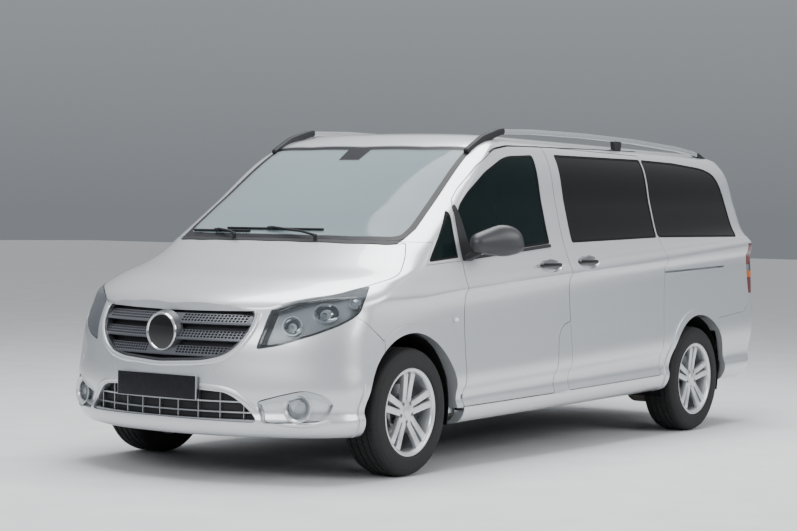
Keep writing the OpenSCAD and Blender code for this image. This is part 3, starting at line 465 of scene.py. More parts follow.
def smooth_rows(step):
    """Rows interpolated with a curve whose slopes come from the neighbours on both sides."""
    gap = [sqrt((b[0] - a[0]) ** 2 + (b[2] - a[2]) ** 2 + 0.2 * (b[3] - a[3]) ** 2) for a, b in zip(ROWS, ROWS[1:])]
    slopes = []
    for i, row in enumerate(ROWS):
        before = [(b - a) / gap[i - 1] for a, b in zip(ROWS[i - 1], row)] if i else None
        after = [(b - a) / gap[i] for a, b in zip(row, ROWS[i + 1])] if i < len(gap) else None
        if before and after:
            w = gap[i] / (gap[i] + gap[i - 1])
            slopes.append([s * w + e * (1 - w) for s, e in zip(before, after)])
        else:
            slopes.append(before or after)
    out = []
    for i, h in enumerate(gap):
        n = max(1, ceil(h / (step / 2 if step < 50 and 300 < ROWS[i][0] < 1100 else step)))
        for k in range(n + (i == len(gap) - 1)):
            t = k / n
            a, b, c, d = 2 * t ** 3 - 3 * t * t + 1, t ** 3 - 2 * t * t + t, 3 * t * t - 2 * t ** 3, t ** 3 - t * t
            out.append([a * p + b * h * m + c * q + d * h * s
                for p, m, q, s in zip(ROWS[i], slopes[i], ROWS[i + 1], slopes[i + 1])])
    return out


def along(line, at):
    """The height of a line of (aft, up) points at one place along the van."""
    i = max(0, min(len(line) - 2, sum(p[0] <= at for p in line) - 1))
    (a, b), (c, d) = line[i], line[i + 1]
    return b + (d - b) * (at - a) / (c - a)


SHOULDER = [(-1750, 880), (-1639, 903), (-1172, 962), (-119, 1027), (1055, 1079), (2204, 1140)]
LOW_CREASE = [(-1145, 442), (-87, 484), (1034, 534)]


def press(y, z):
    """How far the side is pressed in below each of its two creases."""
    depth = 0
    for line, most, height, start, end in ((SHOULDER, 17, 340, -1760, 2450), (LOW_CREASE, 13, 150, -1300, 1230)):
        s = (along(line, y) - z) / height
        if 0 < s < 1:
            fade = clamp((y - start) / 260, 0, 1) * clamp((end - y) / 260, 0, 1)
            depth += most * fade * min(s * height / 22, 1) * (1 - s) ** 1.3
    return depth


def plan_point(row, t, u):
    w, nose, a, s, tail = row[2] - t, row[3] + t, row[4], row[5], row[6] - t
    angle = radians(90 * (1 - u) if u <= 1 else 90 * (u - 2))
    c, q = max(cos(angle), 0) ** (2 / CORNER), max(sin(angle), 0) ** (2 / CORNER)
    if u <= 1:
        return w * c, nose + a * (1 - q) + s * c * c
    if u <= 2:
        return w, nose + a + s + (tail - TAIL_CORNER - TAIL_SWEEP - nose - a - s) * (u - 1)
    return w * c, min(tail, 2577) - TAIL_CORNER * (1 - q) - TAIL_SWEEP * c * c


def skin_point(row, t, drop, u):
    x, y = plan_point(row, t, u)
    z = row[0] - drop * clamp((row[0] - 1690) / 110, 0, 1) + row[1] * clamp((y + 1570) / 4000, 0, 1.05)
    return x * (1 - 0.027 * ((y - 200) / 2300) ** 2) - press(y, z), y, z


def skin(t=0, drop=0, below=0, fine=True, index=0, name="skin"):
    """The closed solid inside the skin, inset by t, and by drop under the roof."""
    steps = (30, 26, 22) if fine else (16, 10, 12)
    us = [i / steps[0] for i in range(steps[0] + 1)] + [1 + i / steps[1] for i in range(1, steps[1] + 1)]
    us += [2 + i / steps[2] for i in range(1, steps[2] + 1)]
    rows = [r for r in smooth_rows(26 if fine else 70) if r[2] - t > 30]
    half, m = len(us) - 1, 2 * (len(us) - 1)

    def ring(row, lower=0):
        side = [skin_point(row, t, drop, u) for u in us]
        return [(x, y, z - lower) for x, y, z in side] + [(-x, y, z - lower) for x, y, z in side[-2:0:-1]]
    points = ring(rows[0], below + 0.01)
    for row in rows:
        points += ring(row)
    faces = []
    for j in range(len(rows)):
        for i in range(m):
            a, b = j * m + i, j * m + (i + 1) % m
            faces.append((a, b, b + m, a + m))
    for level in (0, len(rows)):
        o = level * m
        for i in range(half):
            quad = [o + i, o + i + 1, o + (m - i - 1) % m, o + (m - i) % m]
            quad = list(dict.fromkeys(quad))
            faces.append(tuple(quad if level == 0 else reversed(quad)))
    mesh = bpy.data.meshes.new(name)
    mesh.from_pydata([Vector(p) * MM for p in points], [], faces)
    obj = bpy.data.objects.new(name, mesh)
    bpy.context.collection.objects.link(obj)
    edit(obj, (bpy.ops.mesh.normals_make_consistent, {"inside": False}))
    for f in obj.data.polygons:
        f.material_index = index
    return obj


def layer(a, b, drop_a=None, drop_b=None, index=0, inner=0):
    """A sheet between two depths behind the skin."""
    sheet = skin(a, a if drop_a is None else drop_a, index=index, name="layer")
    return carve(sheet, "DIFFERENCE", skin(b, b if drop_b is None else drop_b, 60, index=inner))


shell = carve(skin(index=0, name="shell"), "DIFFERENCE", skin(60, 40, 60, fine=False, index=1))
print("shell of", len(shell.data.polygons), "faces")

# %% [markdown]
# The seams, windows and lamps are outlines in side view (aft, up), front view (across, up) or
# plan (across, aft). They are the same as in the solids, with their corners rounded as pressed
# and trimmed edges are.

# %% Outlines of seams, windows and lamps
B_SEAM, SEAM = -98, 5
DOOR = [(-1165, 334), (-1165, 1098), (-1172, 1395), (-1040, 1500), (-850, 1630), (-640, 1722), (-480, 1745),
    (B_SEAM, 1757), (B_SEAM, 1182), (-75, 757), (-155, 737), (-200, 690), (-222, 600), (-240, 352)]
DOOR_WINDOW = [(-1140, 1130), (-1140, 1378), (-1005, 1478), (-800, 1596), (-560, 1690), (-245, 1706), (-245, 1200)]
SLIDE = [(-68, 358), (-68, 757), (B_SEAM + SEAM, 1182), (B_SEAM + SEAM, 1757), (1068, 1742), (1060, 1228),
    (1078, 1150), (1096, 1000), (1045, 500), (1045, 384)]
SLIDE_WINDOW = [(0, 1205), (0, 1716), (1052, 1720), (1046, 1236)]
REAR_WINDOW = [(1062, 1237), (1068, 1720), (1500, 1713), (1900, 1689), (2050, 1650), (2130, 1520), (2165, 1262),
    (2150, 1243)]
QUARTER = [(-1478, 1104), (-1195, 1126), (-1195, 1388)]
WING = [(-1170, 329), (-1170, 1108), (-1500, 1088), (-1400, 1207), (-1560, 1207), (-2130, 1207), (-2130, 861),
    (-1894, 712), (-1894, 329)]
BUMPER = [(-1899, 150), (-1899, 709), (-2096, 838), (-2136, 864), (-2136, 1000), (-2700, 1000), (-2700, 150)]
REAR_BUMPER = [(1838, 150), (1838, 713), (2226, 746), (2290, 790), (2318, 850), (2318, 868), (2700, 868), (2700, 150)]
RAIL_SLOT = [(1100, 1015), (1098, 1029), (1947, 1056), (1947, 1044)]
GRILLE = both([(0, 594), (269, 609), (375, 636), (446, 689), (490, 768), (492, 844), (461, 872), (279, 888), (0, 894)])
INTAKE = both([(0, 318), (280, 314), (562, 310), (486, 391), (440, 432), (390, 455), (266, 462), (0, 464)])
FOG = [(545, 414), (650, 446), (756, 476), (833, 444), (853, 408), (834, 357), (812, 322), (694, 313), (575, 310)]
LAMP = [(533, 673), (550, 758), (558, 866), (670, 919), (782, 952), (866, 985), (902, 925), (895, 844), (851, 795),
    (771, 749), (634, 694)]
GATE = both([(0, 652), (700, 652), (768, 700), (775, 1250), (742, 1500), (705, 1690), (680, 1830), (0, 1830)])
GATE_WINDOW = both([(0, 1245), (630, 1245), (655, 1290), (615, 1640), (590, 1680), (0, 1692)])
GATE_Y = 2290
SCREEN = both([(0, -1672), (250, -1660), (500, -1615), (690, -1545), (752, -1500), (762, -1400), (690, -760),
    (660, -748), (400, -812), (0, -842)])
COWL = both([(0, -1712), (250, -1700), (500, -1655), (700, -1578), (742, -1545), (752, -1500), (690, -1545),
    (500, -1615), (250, -1660), (0, -1672)])
HOOD = both([(0, -2464), (279, -2434), (461, -2392), (556, -2348), (668, -2246), (784, -2130), (857, -1956),
    (890, -1815), (888, -1724), (826, -1588), (778, -1515), (745, -1550), (700, -1583), (500, -1660), (250, -1705),
    (0, -1717)])
HOOD_SIDE = [(-2500, 846), (-2348, 862), (-2246, 905), (-1958, 962), (-1724, 1022), (-1560, 1110), (-1480, 1150),
    (-1480, 1300), (-2500, 1300)]
ROOF = both([(0, -836), (400, -806), (660, -742), (700, -700), (706, 0), (706, 1200), (690, 2000), (660, 2283.5),
    (0, 2283.5)])
FRONT_Y, REAR_Y, AXLE_Z, ARCH_Z, ARCH_R = -1645, 1555, 333, 338, 405


def side_tool(points, lo=300, hi=1100, grow=0, r=0, index=0):
    points = grown(points, grow) if grow else points
    return prism(rounded(points, r) if r else points, "x", lo, hi, index)


def front_tool(points, lo=-2700, hi=-1900, grow=0, r=0, index=0):
    points = grown(points, grow) if grow else points
    return prism(rounded(points, r) if r else points, "y", lo, hi, index)


def plan_tool(points, lo, hi, grow=0, r=0, index=0):
    points = grown(points, grow) if grow else points
    return prism(rounded(points, r) if r else points, "z", lo, hi, index)


def hood_tool(grow=0):
    return carve(plan_tool(HOOD, 830, 1300, grow, 14), "INTERSECT", side_tool(HOOD_SIDE, -1000, 1000, grow))


def arch_tool(y, r=ARCH_R):
    tool = drum((-1200, y, ARCH_Z), (1, 0, 0), r, 2400, 128)
    for face in tool.data.polygons:
        face.material_index = 2
    return tool


def lamp_tail_tool(grow=0):
    return side_tool([(2262, 1200), (2312, 868 + grow), (2700, 868 + grow), (2700, 1200)], 782, 1100, grow)


def sweep_tool():
    post = drum((915, -1135, 310), (0, 0, 1), 54, 810, 48)
    return carve(skin(3.2, 3.2, fine=False), "INTERSECT", post)


def lip_ring(y):
    """The raised lip round an arch."""
    ring = lathe([(0, ARCH_R), (800, ARCH_R), (800, ARCH_R + 46), (0, ARCH_R + 46)], (300, y, ARCH_Z), (1, 0, 0), 128)
    return carve(carve(skin(-7, 0, name="lip"), "DIFFERENCE", skin(30, 0, 60, fine=False)), "INTERSECT", ring)


def cup_tool(aft, up, skin_x):
    return ball((skin_x + 3, aft, up), (34, 122, 44), 24)


# %% [markdown]
# ## Body panels
# Each panel is the shell inside its seam, with windows and lamps taken out. The left one is
# cut and the right one is its mirror image. The inner face keeps a trim finish, because it
# shows through the glass and when a door is open.

# %% Side frame, doors and wings
left_half = block((0, -3000, 0), (1300, 3000, 3000))
left_shell = carve(copied(shell, "left_shell"), "INTERSECT", left_half)


def panel(name, source, outline):
    return carve(copied(source, name), "INTERSECT", outline)


def windows(grow=0):
    return [side_tool(SLIDE_WINDOW, grow=grow, r=18, index=2), side_tool(REAR_WINDOW, grow=grow, r=30, index=2),
        side_tool(QUARTER, grow=grow, r=12, index=2)]


side_frame = carve(copied(left_shell, "side_frame"), "DIFFERENCE", side_tool(DOOR, grow=SEAM, r=18),
    side_tool(SLIDE, grow=3.5, r=16), sweep_tool(),
    side_tool([(-3000, 0), (-3000, 2000), (-1600, 2000), (-1600, 1207), (-1400, 1207), (-1500, 1088), (-1167, 1108),
        (-1167, 326), (-1167, 0)], -10, 1200, 2.5))
side_frame = carve(side_frame, "UNION", lip_ring(REAR_Y))
side_frame = carve(side_frame, "DIFFERENCE", plan_tool(ROOF, 1600, 1900, 2), plan_tool(SCREEN, 1195, 1790, 3),
    front_tool(GATE, GATE_Y - 6.5, 2700, 6.5, 20), *windows(), arch_tool(REAR_Y), lamp_tail_tool(2),
    side_tool(REAR_BUMPER, -10, 1200, 2), side_tool(RAIL_SLOT, 880, 1100, index=2),
    plan_tool(COWL, 1100, 1300, 3), side_tool([(-3000, 0), (-3000, 1000), (-1170, 1000), (-1170, 0)], -10, 200))
door = carve(panel("front_door", left_shell, side_tool(DOOR, 712, r=14)), "DIFFERENCE",
    side_tool(DOOR_WINDOW, r=22, index=2), cup_tool(-302, 1083, 948),
    block((800, -1300, 500), (916, -1109, 590)), block((800, -1300, 880), (916, -1109, 970)))
slide = carve(panel("sliding_door", left_shell, side_tool(SLIDE, 712, r=12)), "DIFFERENCE",
    side_tool(SLIDE_WINDOW, r=18, index=2), cup_tool(122, 1098, 946))
wing = carve(panel("front_wing", left_shell, side_tool(WING, 700)), "UNION",
    carve(lip_ring(FRONT_Y), "INTERSECT", side_tool(WING, 700)))
wing = carve(wing, "DIFFERENCE", sweep_tool(), arch_tool(FRONT_Y), hood_tool(SEAM),
    front_tool(LAMP, -2700, -1880, 2.5, 14), plan_tool(SCREEN, 1195, 1790, 3), plan_tool(COWL, 1100, 1300, 3))
for part, finish in ((side_frame, lining), (door, lining), (slide, lining), (wing, moulded_black)):
    coat(part, paint, finish, rubber)
print("left side:", [len(o.data.polygons) for o in (side_frame, door, slide, wing)])

# %% Bumpers, hood, roof and tailgate
bumper = carve(panel("front_bumper", shell, side_tool(BUMPER, -1100, 1100)), "DIFFERENCE", arch_tool(FRONT_Y, 451))
lip = carve(lip_ring(FRONT_Y), "INTERSECT", side_tool(BUMPER, 300, 1100))
bumper = carve(bumper, "UNION", mirrored(lip, "lip_right"), lip)
bumper = carve(bumper, "DIFFERENCE", arch_tool(FRONT_Y), hood_tool(SEAM), front_tool(GRILLE, grow=1, r=24, index=2),
    front_tool(INTAKE, grow=1, r=20, index=2), *[moved(front_tool(o, grow=2.5, r=r, index=2), Matrix.Diagonal((s, 1, 1, 1)))
        for o, r in ((LAMP, 14), (FOG, 26)) for s in (1, -1)], block((-261, -2600, 411), (261, -2562, 533)))
rear_bumper = carve(panel("rear_bumper", shell, side_tool(REAR_BUMPER, -1100, 1100)), "DIFFERENCE", arch_tool(REAR_Y, 451))
lip = carve(lip_ring(REAR_Y), "INTERSECT", side_tool(REAR_BUMPER, 300, 1100))
rear_bumper = carve(rear_bumper, "UNION", mirrored(lip, "lip_right"), lip)
rear_bumper = carve(rear_bumper, "DIFFERENCE", arch_tool(REAR_Y), front_tool(GATE, GATE_Y - SEAM, 2700, SEAM, 20))
hood = panel("hood_panel", shell, hood_tool())
roof = carve(panel("roof", shell, plan_tool(ROOF, 1600, 1900)), "DIFFERENCE", plan_tool(SCREEN, 1195, 1790, 3),
    *[block((x - 42, 2225, 1600), (x + 42, 2400, 1763)) for x in (-200, 200)])
gate = carve(panel("tailgate_panel", shell, front_tool(GATE, GATE_Y, 2700, 0, 16)), "DIFFERENCE",
    front_tool(GATE_WINDOW, 2200, 2700, r=26, index=2), block((-261, 2560, 799), (261, 2700, 911)))
for part, finish in ((bumper, moulded_black), (rear_bumper, moulded_black), (hood, black_steel), (roof, headliner),
        (gate, lining)):
    coat(part, paint, finish, rubber)
print("ends:", [len(o.data.polygons) for o in (bumper, rear_bumper, hood, roof, gate)])


# %% Arms of the lid hinges
def lid_arms(pivot, hinge_x, path):
    bars = []
    for x in (-hinge_x, hinge_x):
        bars.append(drum((x - 35, *pivot), (1, 0, 0), 5, 70, 24))
        for dx in (-30, 30):
            bars.append(tube([(x + dx, pivot[0] + a, pivot[1] + b) for a, b in path], 8))
    arms = joined("arms", bars)
    return coat(arms, hinge_steel)


hood_arms = lid_arms((-1505, 1205), 640, [(0, 0), (-20, -64), (-37, -113), (-52, -119), (-110, -95), (-124, -83),
    (-130, -55), (-134, -41)])
hood_arms.name = "hood_hinge_arms"
gate_arms = lid_arms((2240, 1750), 200, [(0, 0), (-2, -48), (4, -60), (36, -60), (112, -34)])
gate_arms.name = "gate_hinge_arms"

# %% Put the panels on their bodies
seat_on("body", "body_paint", side_frame, replaces=["side_frame_left"])
seat_on("body", "body_paint", mirrored(side_frame, "side_frame_other"), replaces=["side_frame_right"])
seat_on("body", "body_paint", slide, replaces=["sliding_door_left"])
seat_on("body", "body_paint", mirrored(slide, "sliding_door_other"), replaces=["sliding_door_right"])
seat_on("front_door_left", "body_paint", door, replaces=["front_door_left"])
seat_on("front_door_right", "body_paint", mirrored(door, "front_door_other"), replaces=["front_door_right"])
wings = joined("front_wings_pair", [wing, mirrored(wing, "wing_other")])
seat_on("body", "body_paint", wings, replaces=["front_wings"])
seat_on("body", "body_paint", bumper, replaces=["front_bumper"])
seat_on("body", "body_paint", rear_bumper, replaces=["rear_bumper"])
seat_on("body", "body_paint", roof, replaces=["roof_panel"])
seat_on("hood", "body_paint", hood, replaces=["hood"])
seat_on("hood", "bare_steel", hood_arms)
seat_on("tailgate", "body_paint", gate, replaces=["tailgate"])
seat_on("tailgate", "bare_steel", gate_arms)

# %% [markdown]
# ## Glass
# The panes lie 2 or 3 mm behind the skin, flush with the panels. The windscreen has a black
# enamel border that hides its adhesive, wider at the top where the rain sensor sits. The border
# and the clear part are cut from the same sheet, so the surface runs on across the two.

# %% Windscreen
BORDER = 34
clear_part = carve(plan_tool(grown(SCREEN, -BORDER), 1195, 1790, 0, 30), "DIFFERENCE",
    prism([(-95, -700), (95, -700), (70, -975), (-70, -975)], "z", 1190, 1800))
sheet = carve(layer(2, 14, 2, 10), "INTERSECT", plan_tool(SCREEN, 1195, 1790, -0.5, 8))
border = carve(copied(sheet, "windscreen_border"), "DIFFERENCE", clear_part, keep=True)
screen = carve(sheet, "INTERSECT", clear_part)
screen.name = "windscreen_pane"
coat(screen, screen_glass)
coat(border, frit)
seat_on("body", "clear_glass", screen, replaces=["windscreen"])
seat_on("body", "gloss_black", border)
sensor = coat(block((-52, -1010, 1560), (52, -935, 1578), 6), moulded_black)
sensor.name = "rain_sensor"
pitch = Matrix.Translation(Vector((0, -972, 1569)) * MM)
moved(sensor, Matrix.Translation(Vector((0, -958, 1600)) * MM) @ Matrix.Rotation(radians(32), 4, "X") @ pitch.inverted())
seat_on("body", "gloss_black", sensor)

# %% Side and rear panes
left_sheet = carve(layer(3, 9), "INTERSECT", block((200, -3000, 0), (1300, 3000, 3000)))


def pane(name, finish, outline, r):
    piece = carve(copied(left_sheet, name), "INTERSECT", side_tool(outline, grow=-0.5, r=r))
    return coat(piece, finish)


slide_pane = pane("sliding_door_pane", privacy_glass, SLIDE_WINDOW, 17)
rear_pane = pane("rear_side_pane", privacy_glass, REAR_WINDOW, 29)
quarter_pane = pane("quarter_pane", door_pane, QUARTER, 11)
panes = [slide_pane, rear_pane, quarter_pane]
panes += [mirrored(p, p.name + "_right") for p in panes]
seat_on("body", "dark_glass", *panes, replaces=["fixed_glass"])
door_glass = pane("front_door_pane", door_pane, DOOR_WINDOW, 21)
seat_on("front_door_left", "dark_glass", door_glass, replaces=["door_glass_left"])
seat_on("front_door_right", "dark_glass", mirrored(door_glass, "front_door_pane_right"), replaces=["door_glass_right"])
bpy.data.objects.remove(left_sheet)
rear_sheet = carve(layer(3, 11), "INTERSECT", front_tool(GATE_WINDOW, 2200, 2700, -0.5, 25))
rear_sheet.name = "tailgate_pane"
seat_on("tailgate", "dark_glass", coat(rear_sheet, privacy_glass), replaces=["tailgate_glass"])

# %% [markdown]
# ## Nose: grille, lamps and plate
# Blades of the grille follow the nose round its corners, so they are lofted along it: a section
# of (depth behind the skin, height) points at stations from one side to the other. Each blade
# slopes back from a thin lip, and its slope is perforated with square holes.

# %% Places on the nose
FINE_ROWS = smooth_rows(26)


def row_at(z):
    k = max(i for i, r in enumerate(FINE_ROWS[:-1]) if r[0] <= z)
    t = (z - FINE_ROWS[k][0]) / (FINE_ROWS[k + 1][0] - FINE_ROWS[k][0])
    return [a + (b - a) * t for a, b in zip(FINE_ROWS[k], FINE_ROWS[k + 1])]


def nose_point(z, depth, u):
    x, y = plan_point(row_at(z), depth, abs(u))
    x *= 1 - 0.027 * ((y - 200) / 2300) ** 2
    return Vector((x if u >= 0 else -x, y, z))


def nose_at(x, z, depth=0):
    """The place on the nose at a width and height, and the direction that it faces."""
    lo, hi = 0.0, 1.6
    for _ in range(30):
        u = (lo + hi) / 2
        lo, hi = (u, hi) if nose_point(z, depth, u).x < abs(x) else (lo, u)
    at = nose_point(z, depth, u)
    along = nose_point(z, depth, u + 0.01) - nose_point(z, depth, u - 0.01)
    rise = nose_point(z + 8, depth, u) - nose_point(z - 8, depth, u)
    out = along.cross(rise).normalized()
    if x < 0:
        at.x, out.x = -at.x, -out.x
    return at, out


def nose_loft(section, reach=0.82, stations=24, name="nose_loft"):
    us = [reach * i / stations for i in range(-stations, stations + 1)]
    points = [nose_point(z, depth, u) * MM for u in us for depth, z in section]
    n = len(section)
    faces = [tuple(range(n)), tuple(reversed(range(len(points) - n, len(points))))]
    for i in range(len(us) - 1):
        for j in range(n):
            k = (j + 1) % n
            faces.append((i * n + j, i * n + n + j, i * n + n + k, i * n + k))
    mesh = bpy.data.meshes.new(name)
    mesh.from_pydata(points, [], faces)
    obj = bpy.data.objects.new(name, mesh)
    bpy.context.collection.objects.link(obj)
    return edit(obj, (bpy.ops.mesh.normals_make_consistent, {"inside": False}))


# %% Grille
grille_zone = carve(front_tool(GRILLE, grow=-0.5, r=23), "DIFFERENCE", hood_tool(SEAM))
holes = []
for lip in (628, 708, 788):
    for row in (12, 24.5, 37):
        for side in (-1, 1):
            for k in range(19):
                x = side * (104 + 19 * k)
                holes.append(block((x - 6.5, -2620, lip + row), (x + 6.5, -2300, lip + row + 8.5)))
holes = joined("grille_holes", holes)
blades = []
for lip in (628, 708, 788):
    blade = nose_loft([(7, lip), (7, lip + 8), (27, lip + 49), (32, lip + 46), (13, lip - 3)], name="grille_blade")
    blades.append(carve(carve(blade, "DIFFERENCE", holes, keep=True), "INTERSECT", grille_zone, keep=True))
bpy.data.objects.remove(holes)
blades = coat(joined("grille_blades", blades), bright_grey, smooth=25)
surround = carve(carve(nose_loft([(5, 585), (5, 742), (5, 905), (40, 905), (40, 742), (40, 585)], name="grille_frame"),
    "DIFFERENCE", front_tool(GRILLE, grow=-13, r=20)), "INTERSECT", grille_zone, keep=True)
coat(surround, grille_grey)
backing = nose_loft([(50, 585), (50, 742), (50, 905), (57, 905), (57, 742), (57, 585)], name="grille_backing")
coat(carve(backing, "INTERSECT", grille_zone), moulded_black)
BADGE_Z, BADGE_Y = 741, -2500
boss = lathe([(0, 0), (0, 112), (26, 104), (40, 97), (42, 88), (42, 0)], (0, BADGE_Y, BADGE_Z), (0, -1, 0), name="grille_boss")
ring = lathe([(40, 84), (45, 86), (49, 90), (49, 95), (45, 98), (40, 99)], (0, BADGE_Y, BADGE_Z), (0, -1, 0), name="boss_ring")
disc = lathe([(38, 0), (38, 85), (43, 85), (45.5, 60), (46.5, 0)], (0, BADGE_Y, BADGE_Z), (0, -1, 0), name="boss_disc")
seat_on("body", "grille_plastic", blades, replaces=["grille"])
seat_on("body", "grille_plastic", surround, backing, coat(boss, grille_grey))
seat_on("body", "bright_metal", coat(ring, chrome))
seat_on("body", "gloss_black", coat(disc, gloss_black))

# %% [markdown]
# A rounded bead of body colour runs round the grille like a U, and another arches over the
# lower intake and out under the fog lamps. Each is a bar bent along the nose, half sunk in it.

# %% Beads
def bead(name, half, radius, depth, inner):
    line = [nose_at(x, z, depth)[0] for x, z in [(-x, z) for x, z in reversed(half)] + half]
    bar = carve(tube(line, radius, 6), "DIFFERENCE", hood_tool(SEAM), *inner)
    bar.name = name
    return coat(bar, paint, smooth=60)


edge = [p for p in rounded(grown(GRILLE, 15), 26) if p[0] > 0.5 and p[1] < 885]
grille_bead = bead("grille_bead", sorted(edge, key=lambda p: p[1] * 3 + p[0]), 18, 9, [front_tool(GRILLE, grow=1, r=24), block((-1000, -2700, 851), (1000, -1900, 1000))])
ARCH = [(262, 483), (390, 474), (452, 452), (500, 416), (545, 374), (590, 334), (650, 307), (720, 298), (800, 304), (842, 322)]
curve = rounded([(-400, 480)] + ARCH + [(842, 600)], 20)
curve = [(266, 483.5)] + [p for p in curve if p[0] > 290 and (p[1] < 330 or p[0] < 700 and p[1] < 484)]
arch_bead = bead("arch_bead", curve, 13, 6, [block((-263, -2700, 380), (263, -2000, 560)),
    front_tool(INTAKE, grow=1, r=20)] + [moved(front_tool(FOG, grow=2.5, r=26), Matrix.Diagonal((s, 1, 1, 1))) for s in (1, -1)])
seat_on("body", "body_paint", grille_bead, arch_bead)

# %% Lower intake with its bright grid
intake_zone = front_tool(INTAKE, grow=-0.5, r=19)
grid = [nose_loft([(d, z), (d, z + h), (d + 14, z + h), (d + 14, z)], reach=0.9, name="intake_bar")
    for d, z, h in ((16, 352, 7), (16, 404, 7), (10, 308, 14))]
for k in range(-4, 5):
    at, out = nose_at(abs(k) * 118 + 0.5, 390, 17)
    x = at.x if k >= 0 else -at.x
    grid.append(block((x - 2.6, at.y, 300), (x + 2.6, at.y + 13, 470)))
grid = [carve(bar, "INTERSECT", intake_zone, keep=True) for bar in grid]
bpy.data.objects.remove(intake_zone)
backing = nose_loft([(44, 298), (44, 480), (52, 480), (52, 298)], reach=0.9, name="intake_backing")
coat(carve(backing, "INTERSECT", front_tool(INTAKE, grow=-0.5, r=19)), moulded_black)
seat_on("body", "bright_metal", coat(joined("intake_grid", grid), bright_bar), replaces=["lower_grille"])
seat_on("body", "dark_plastic", backing)

# %% [markdown]
# A headlamp is a clear lens over a dark housing with two bright bowls and a light strip under
# the bonnet's edge. The bowls face as the skin does there.

# %% Headlamps
lamp_sheet = carve(layer(2, 6, 2, 6), "INTERSECT", block((450, -2700, 600), (1000, -1800, 1050)))
lamp_floor = carve(layer(44, 58, 44, 58), "INTERSECT", block((450, -2700, 600), (1000, -1800, 1050)))
lamp_wall = carve(layer(7, 58, 7, 58), "INTERSECT", block((450, -2700, 600), (1000, -1800, 1050)))


def in_lamp(name, source, grow, *cuts):
    piece = carve(copied(source, name), "INTERSECT", front_tool(LAMP, -2700, -1880, grow, 12))
    return carve(piece, "DIFFERENCE", hood_tool(SEAM - 0.5 - grow), *cuts)


def bowl(x, z, r, wide=1.0, name="lamp_bowl"):
    at, out = nose_at(x, z, 48)
    shape = lathe([(0, 8), (3, r * 0.42), (16, r * 0.8), (30, r), (33, r), (33, r + 3), (0, r + 3), (-6, r * 0.6),
        (-6, 8)], (0, 0, 0), (0, 0, 1), 56)
    turn = out.to_track_quat("Z", "Y").to_matrix().to_4x4()
    shape.name = name
    return moved(shape, Matrix.Translation(at * MM) @ turn @ Matrix.Diagonal((wide, 1, 1, 1)))


lens = coat(in_lamp("headlamp_lens", lamp_sheet, -0.5), clear_lens)
housing = coat(in_lamp("headlamp_housing", lamp_floor, -1), lamp_grey)
rim = coat(in_lamp("headlamp_rim", lamp_wall, -1, carve(front_tool(LAMP, -2700, -1880, -11, 12), "DIFFERENCE",
    hood_tool(SEAM + 6))), gloss_black)
strip_tool = front_tool([(572, 846), (690, 893), (800, 926), (868, 948), (862, 972), (780, 946), (668, 912), (566, 868)])
strip = carve(copied(lamp_wall, "headlamp_strip"), "INTERSECT", strip_tool)
strip = coat(carve(strip, "DIFFERENCE", hood_tool(SEAM + 7), layer(0, 16, 0, 16)), reflector)
bowls = [coat(bowl(640, 778, 46), reflector), coat(bowl(752, 842, 48, 1.3), reflector), coat(bowl(835, 893, 26, 1.2), reflector)]
bulbs = []
for x, z in ((640, 778), (752, 842)):
    at, out = nose_at(x, z, 40)
    bulbs.append(coat(ball(at, (13, 13, 13), 12, "lamp_bulb"), clear_lens))
for sheet in (lamp_sheet, lamp_floor, lamp_wall):
    bpy.data.objects.remove(sheet)
bowls = joined("headlamp_bowls", bowls)
bulbs = joined("headlamp_bulbs", bulbs)
for number, (piece, slot) in enumerate(((lens, "lamp_lens"), (housing, "dark_plastic"), (rim, "gloss_black"),
        (strip, "bright_metal"), (bowls, "bright_metal"), (bulbs, "lamp_lens"))):
    other = mirrored(piece, piece.name + "_right")
    seat_on("body", slot, piece, other, replaces=() if number else ["headlamps"])

# %% Fog lamps in their recesses
FOG_AT = Vector((722, -2343, 387))
FOG_OUT = (sin(radians(20)), -cos(radians(20)), 0)
side_half = block((300, -2800, 200), (1100, -1900, 600))
pocket = carve(layer(24, 42, 24, 42), "INTERSECT", side_half, front_tool(FOG, grow=-0.5, r=25))
# The brow is a grey band where the body curves in over each fog lamp; its grey, darker than the body colour, is painted
# shade under that lip.
painted_shade_brow = carve(layer(5, 36, 5, 36), "INTERSECT", front_tool([(548, 411), (650, 444), (756, 474), (831, 443), (851, 409),
    (838, 402), (800, 421), (752, 443), (655, 414), (566, 398)]), front_tool(FOG, grow=-0.5, r=25))
dish = lathe([(-36, 40), (-6, 58), (6, 74), (9, 74), (9, 70), (-2, 55), (-14, 50), (-36, 30)], FOG_AT, FOG_OUT, name="fog_dish")
lens = lathe([(-30, 0), (-30, 49), (-4, 51), (2, 46), (5, 30), (6, 0)], FOG_AT, FOG_OUT, name="fog_lens")
pocket.name, painted_shade_brow.name = "fog_pocket", "fog_brow"
for number, (piece, finish, slot) in enumerate(((pocket, paint, "body_paint"), (painted_shade_brow, lamp_grey, "dark_plastic"),
        (dish, cast_alloy, "fog_bezel"), (lens, clear_lens, "lamp_lens"))):
    coat(piece, finish)
    seat_on("body", slot, piece, mirrored(piece, piece.name + "_right"), replaces=() if number else ["fog_lamps"])

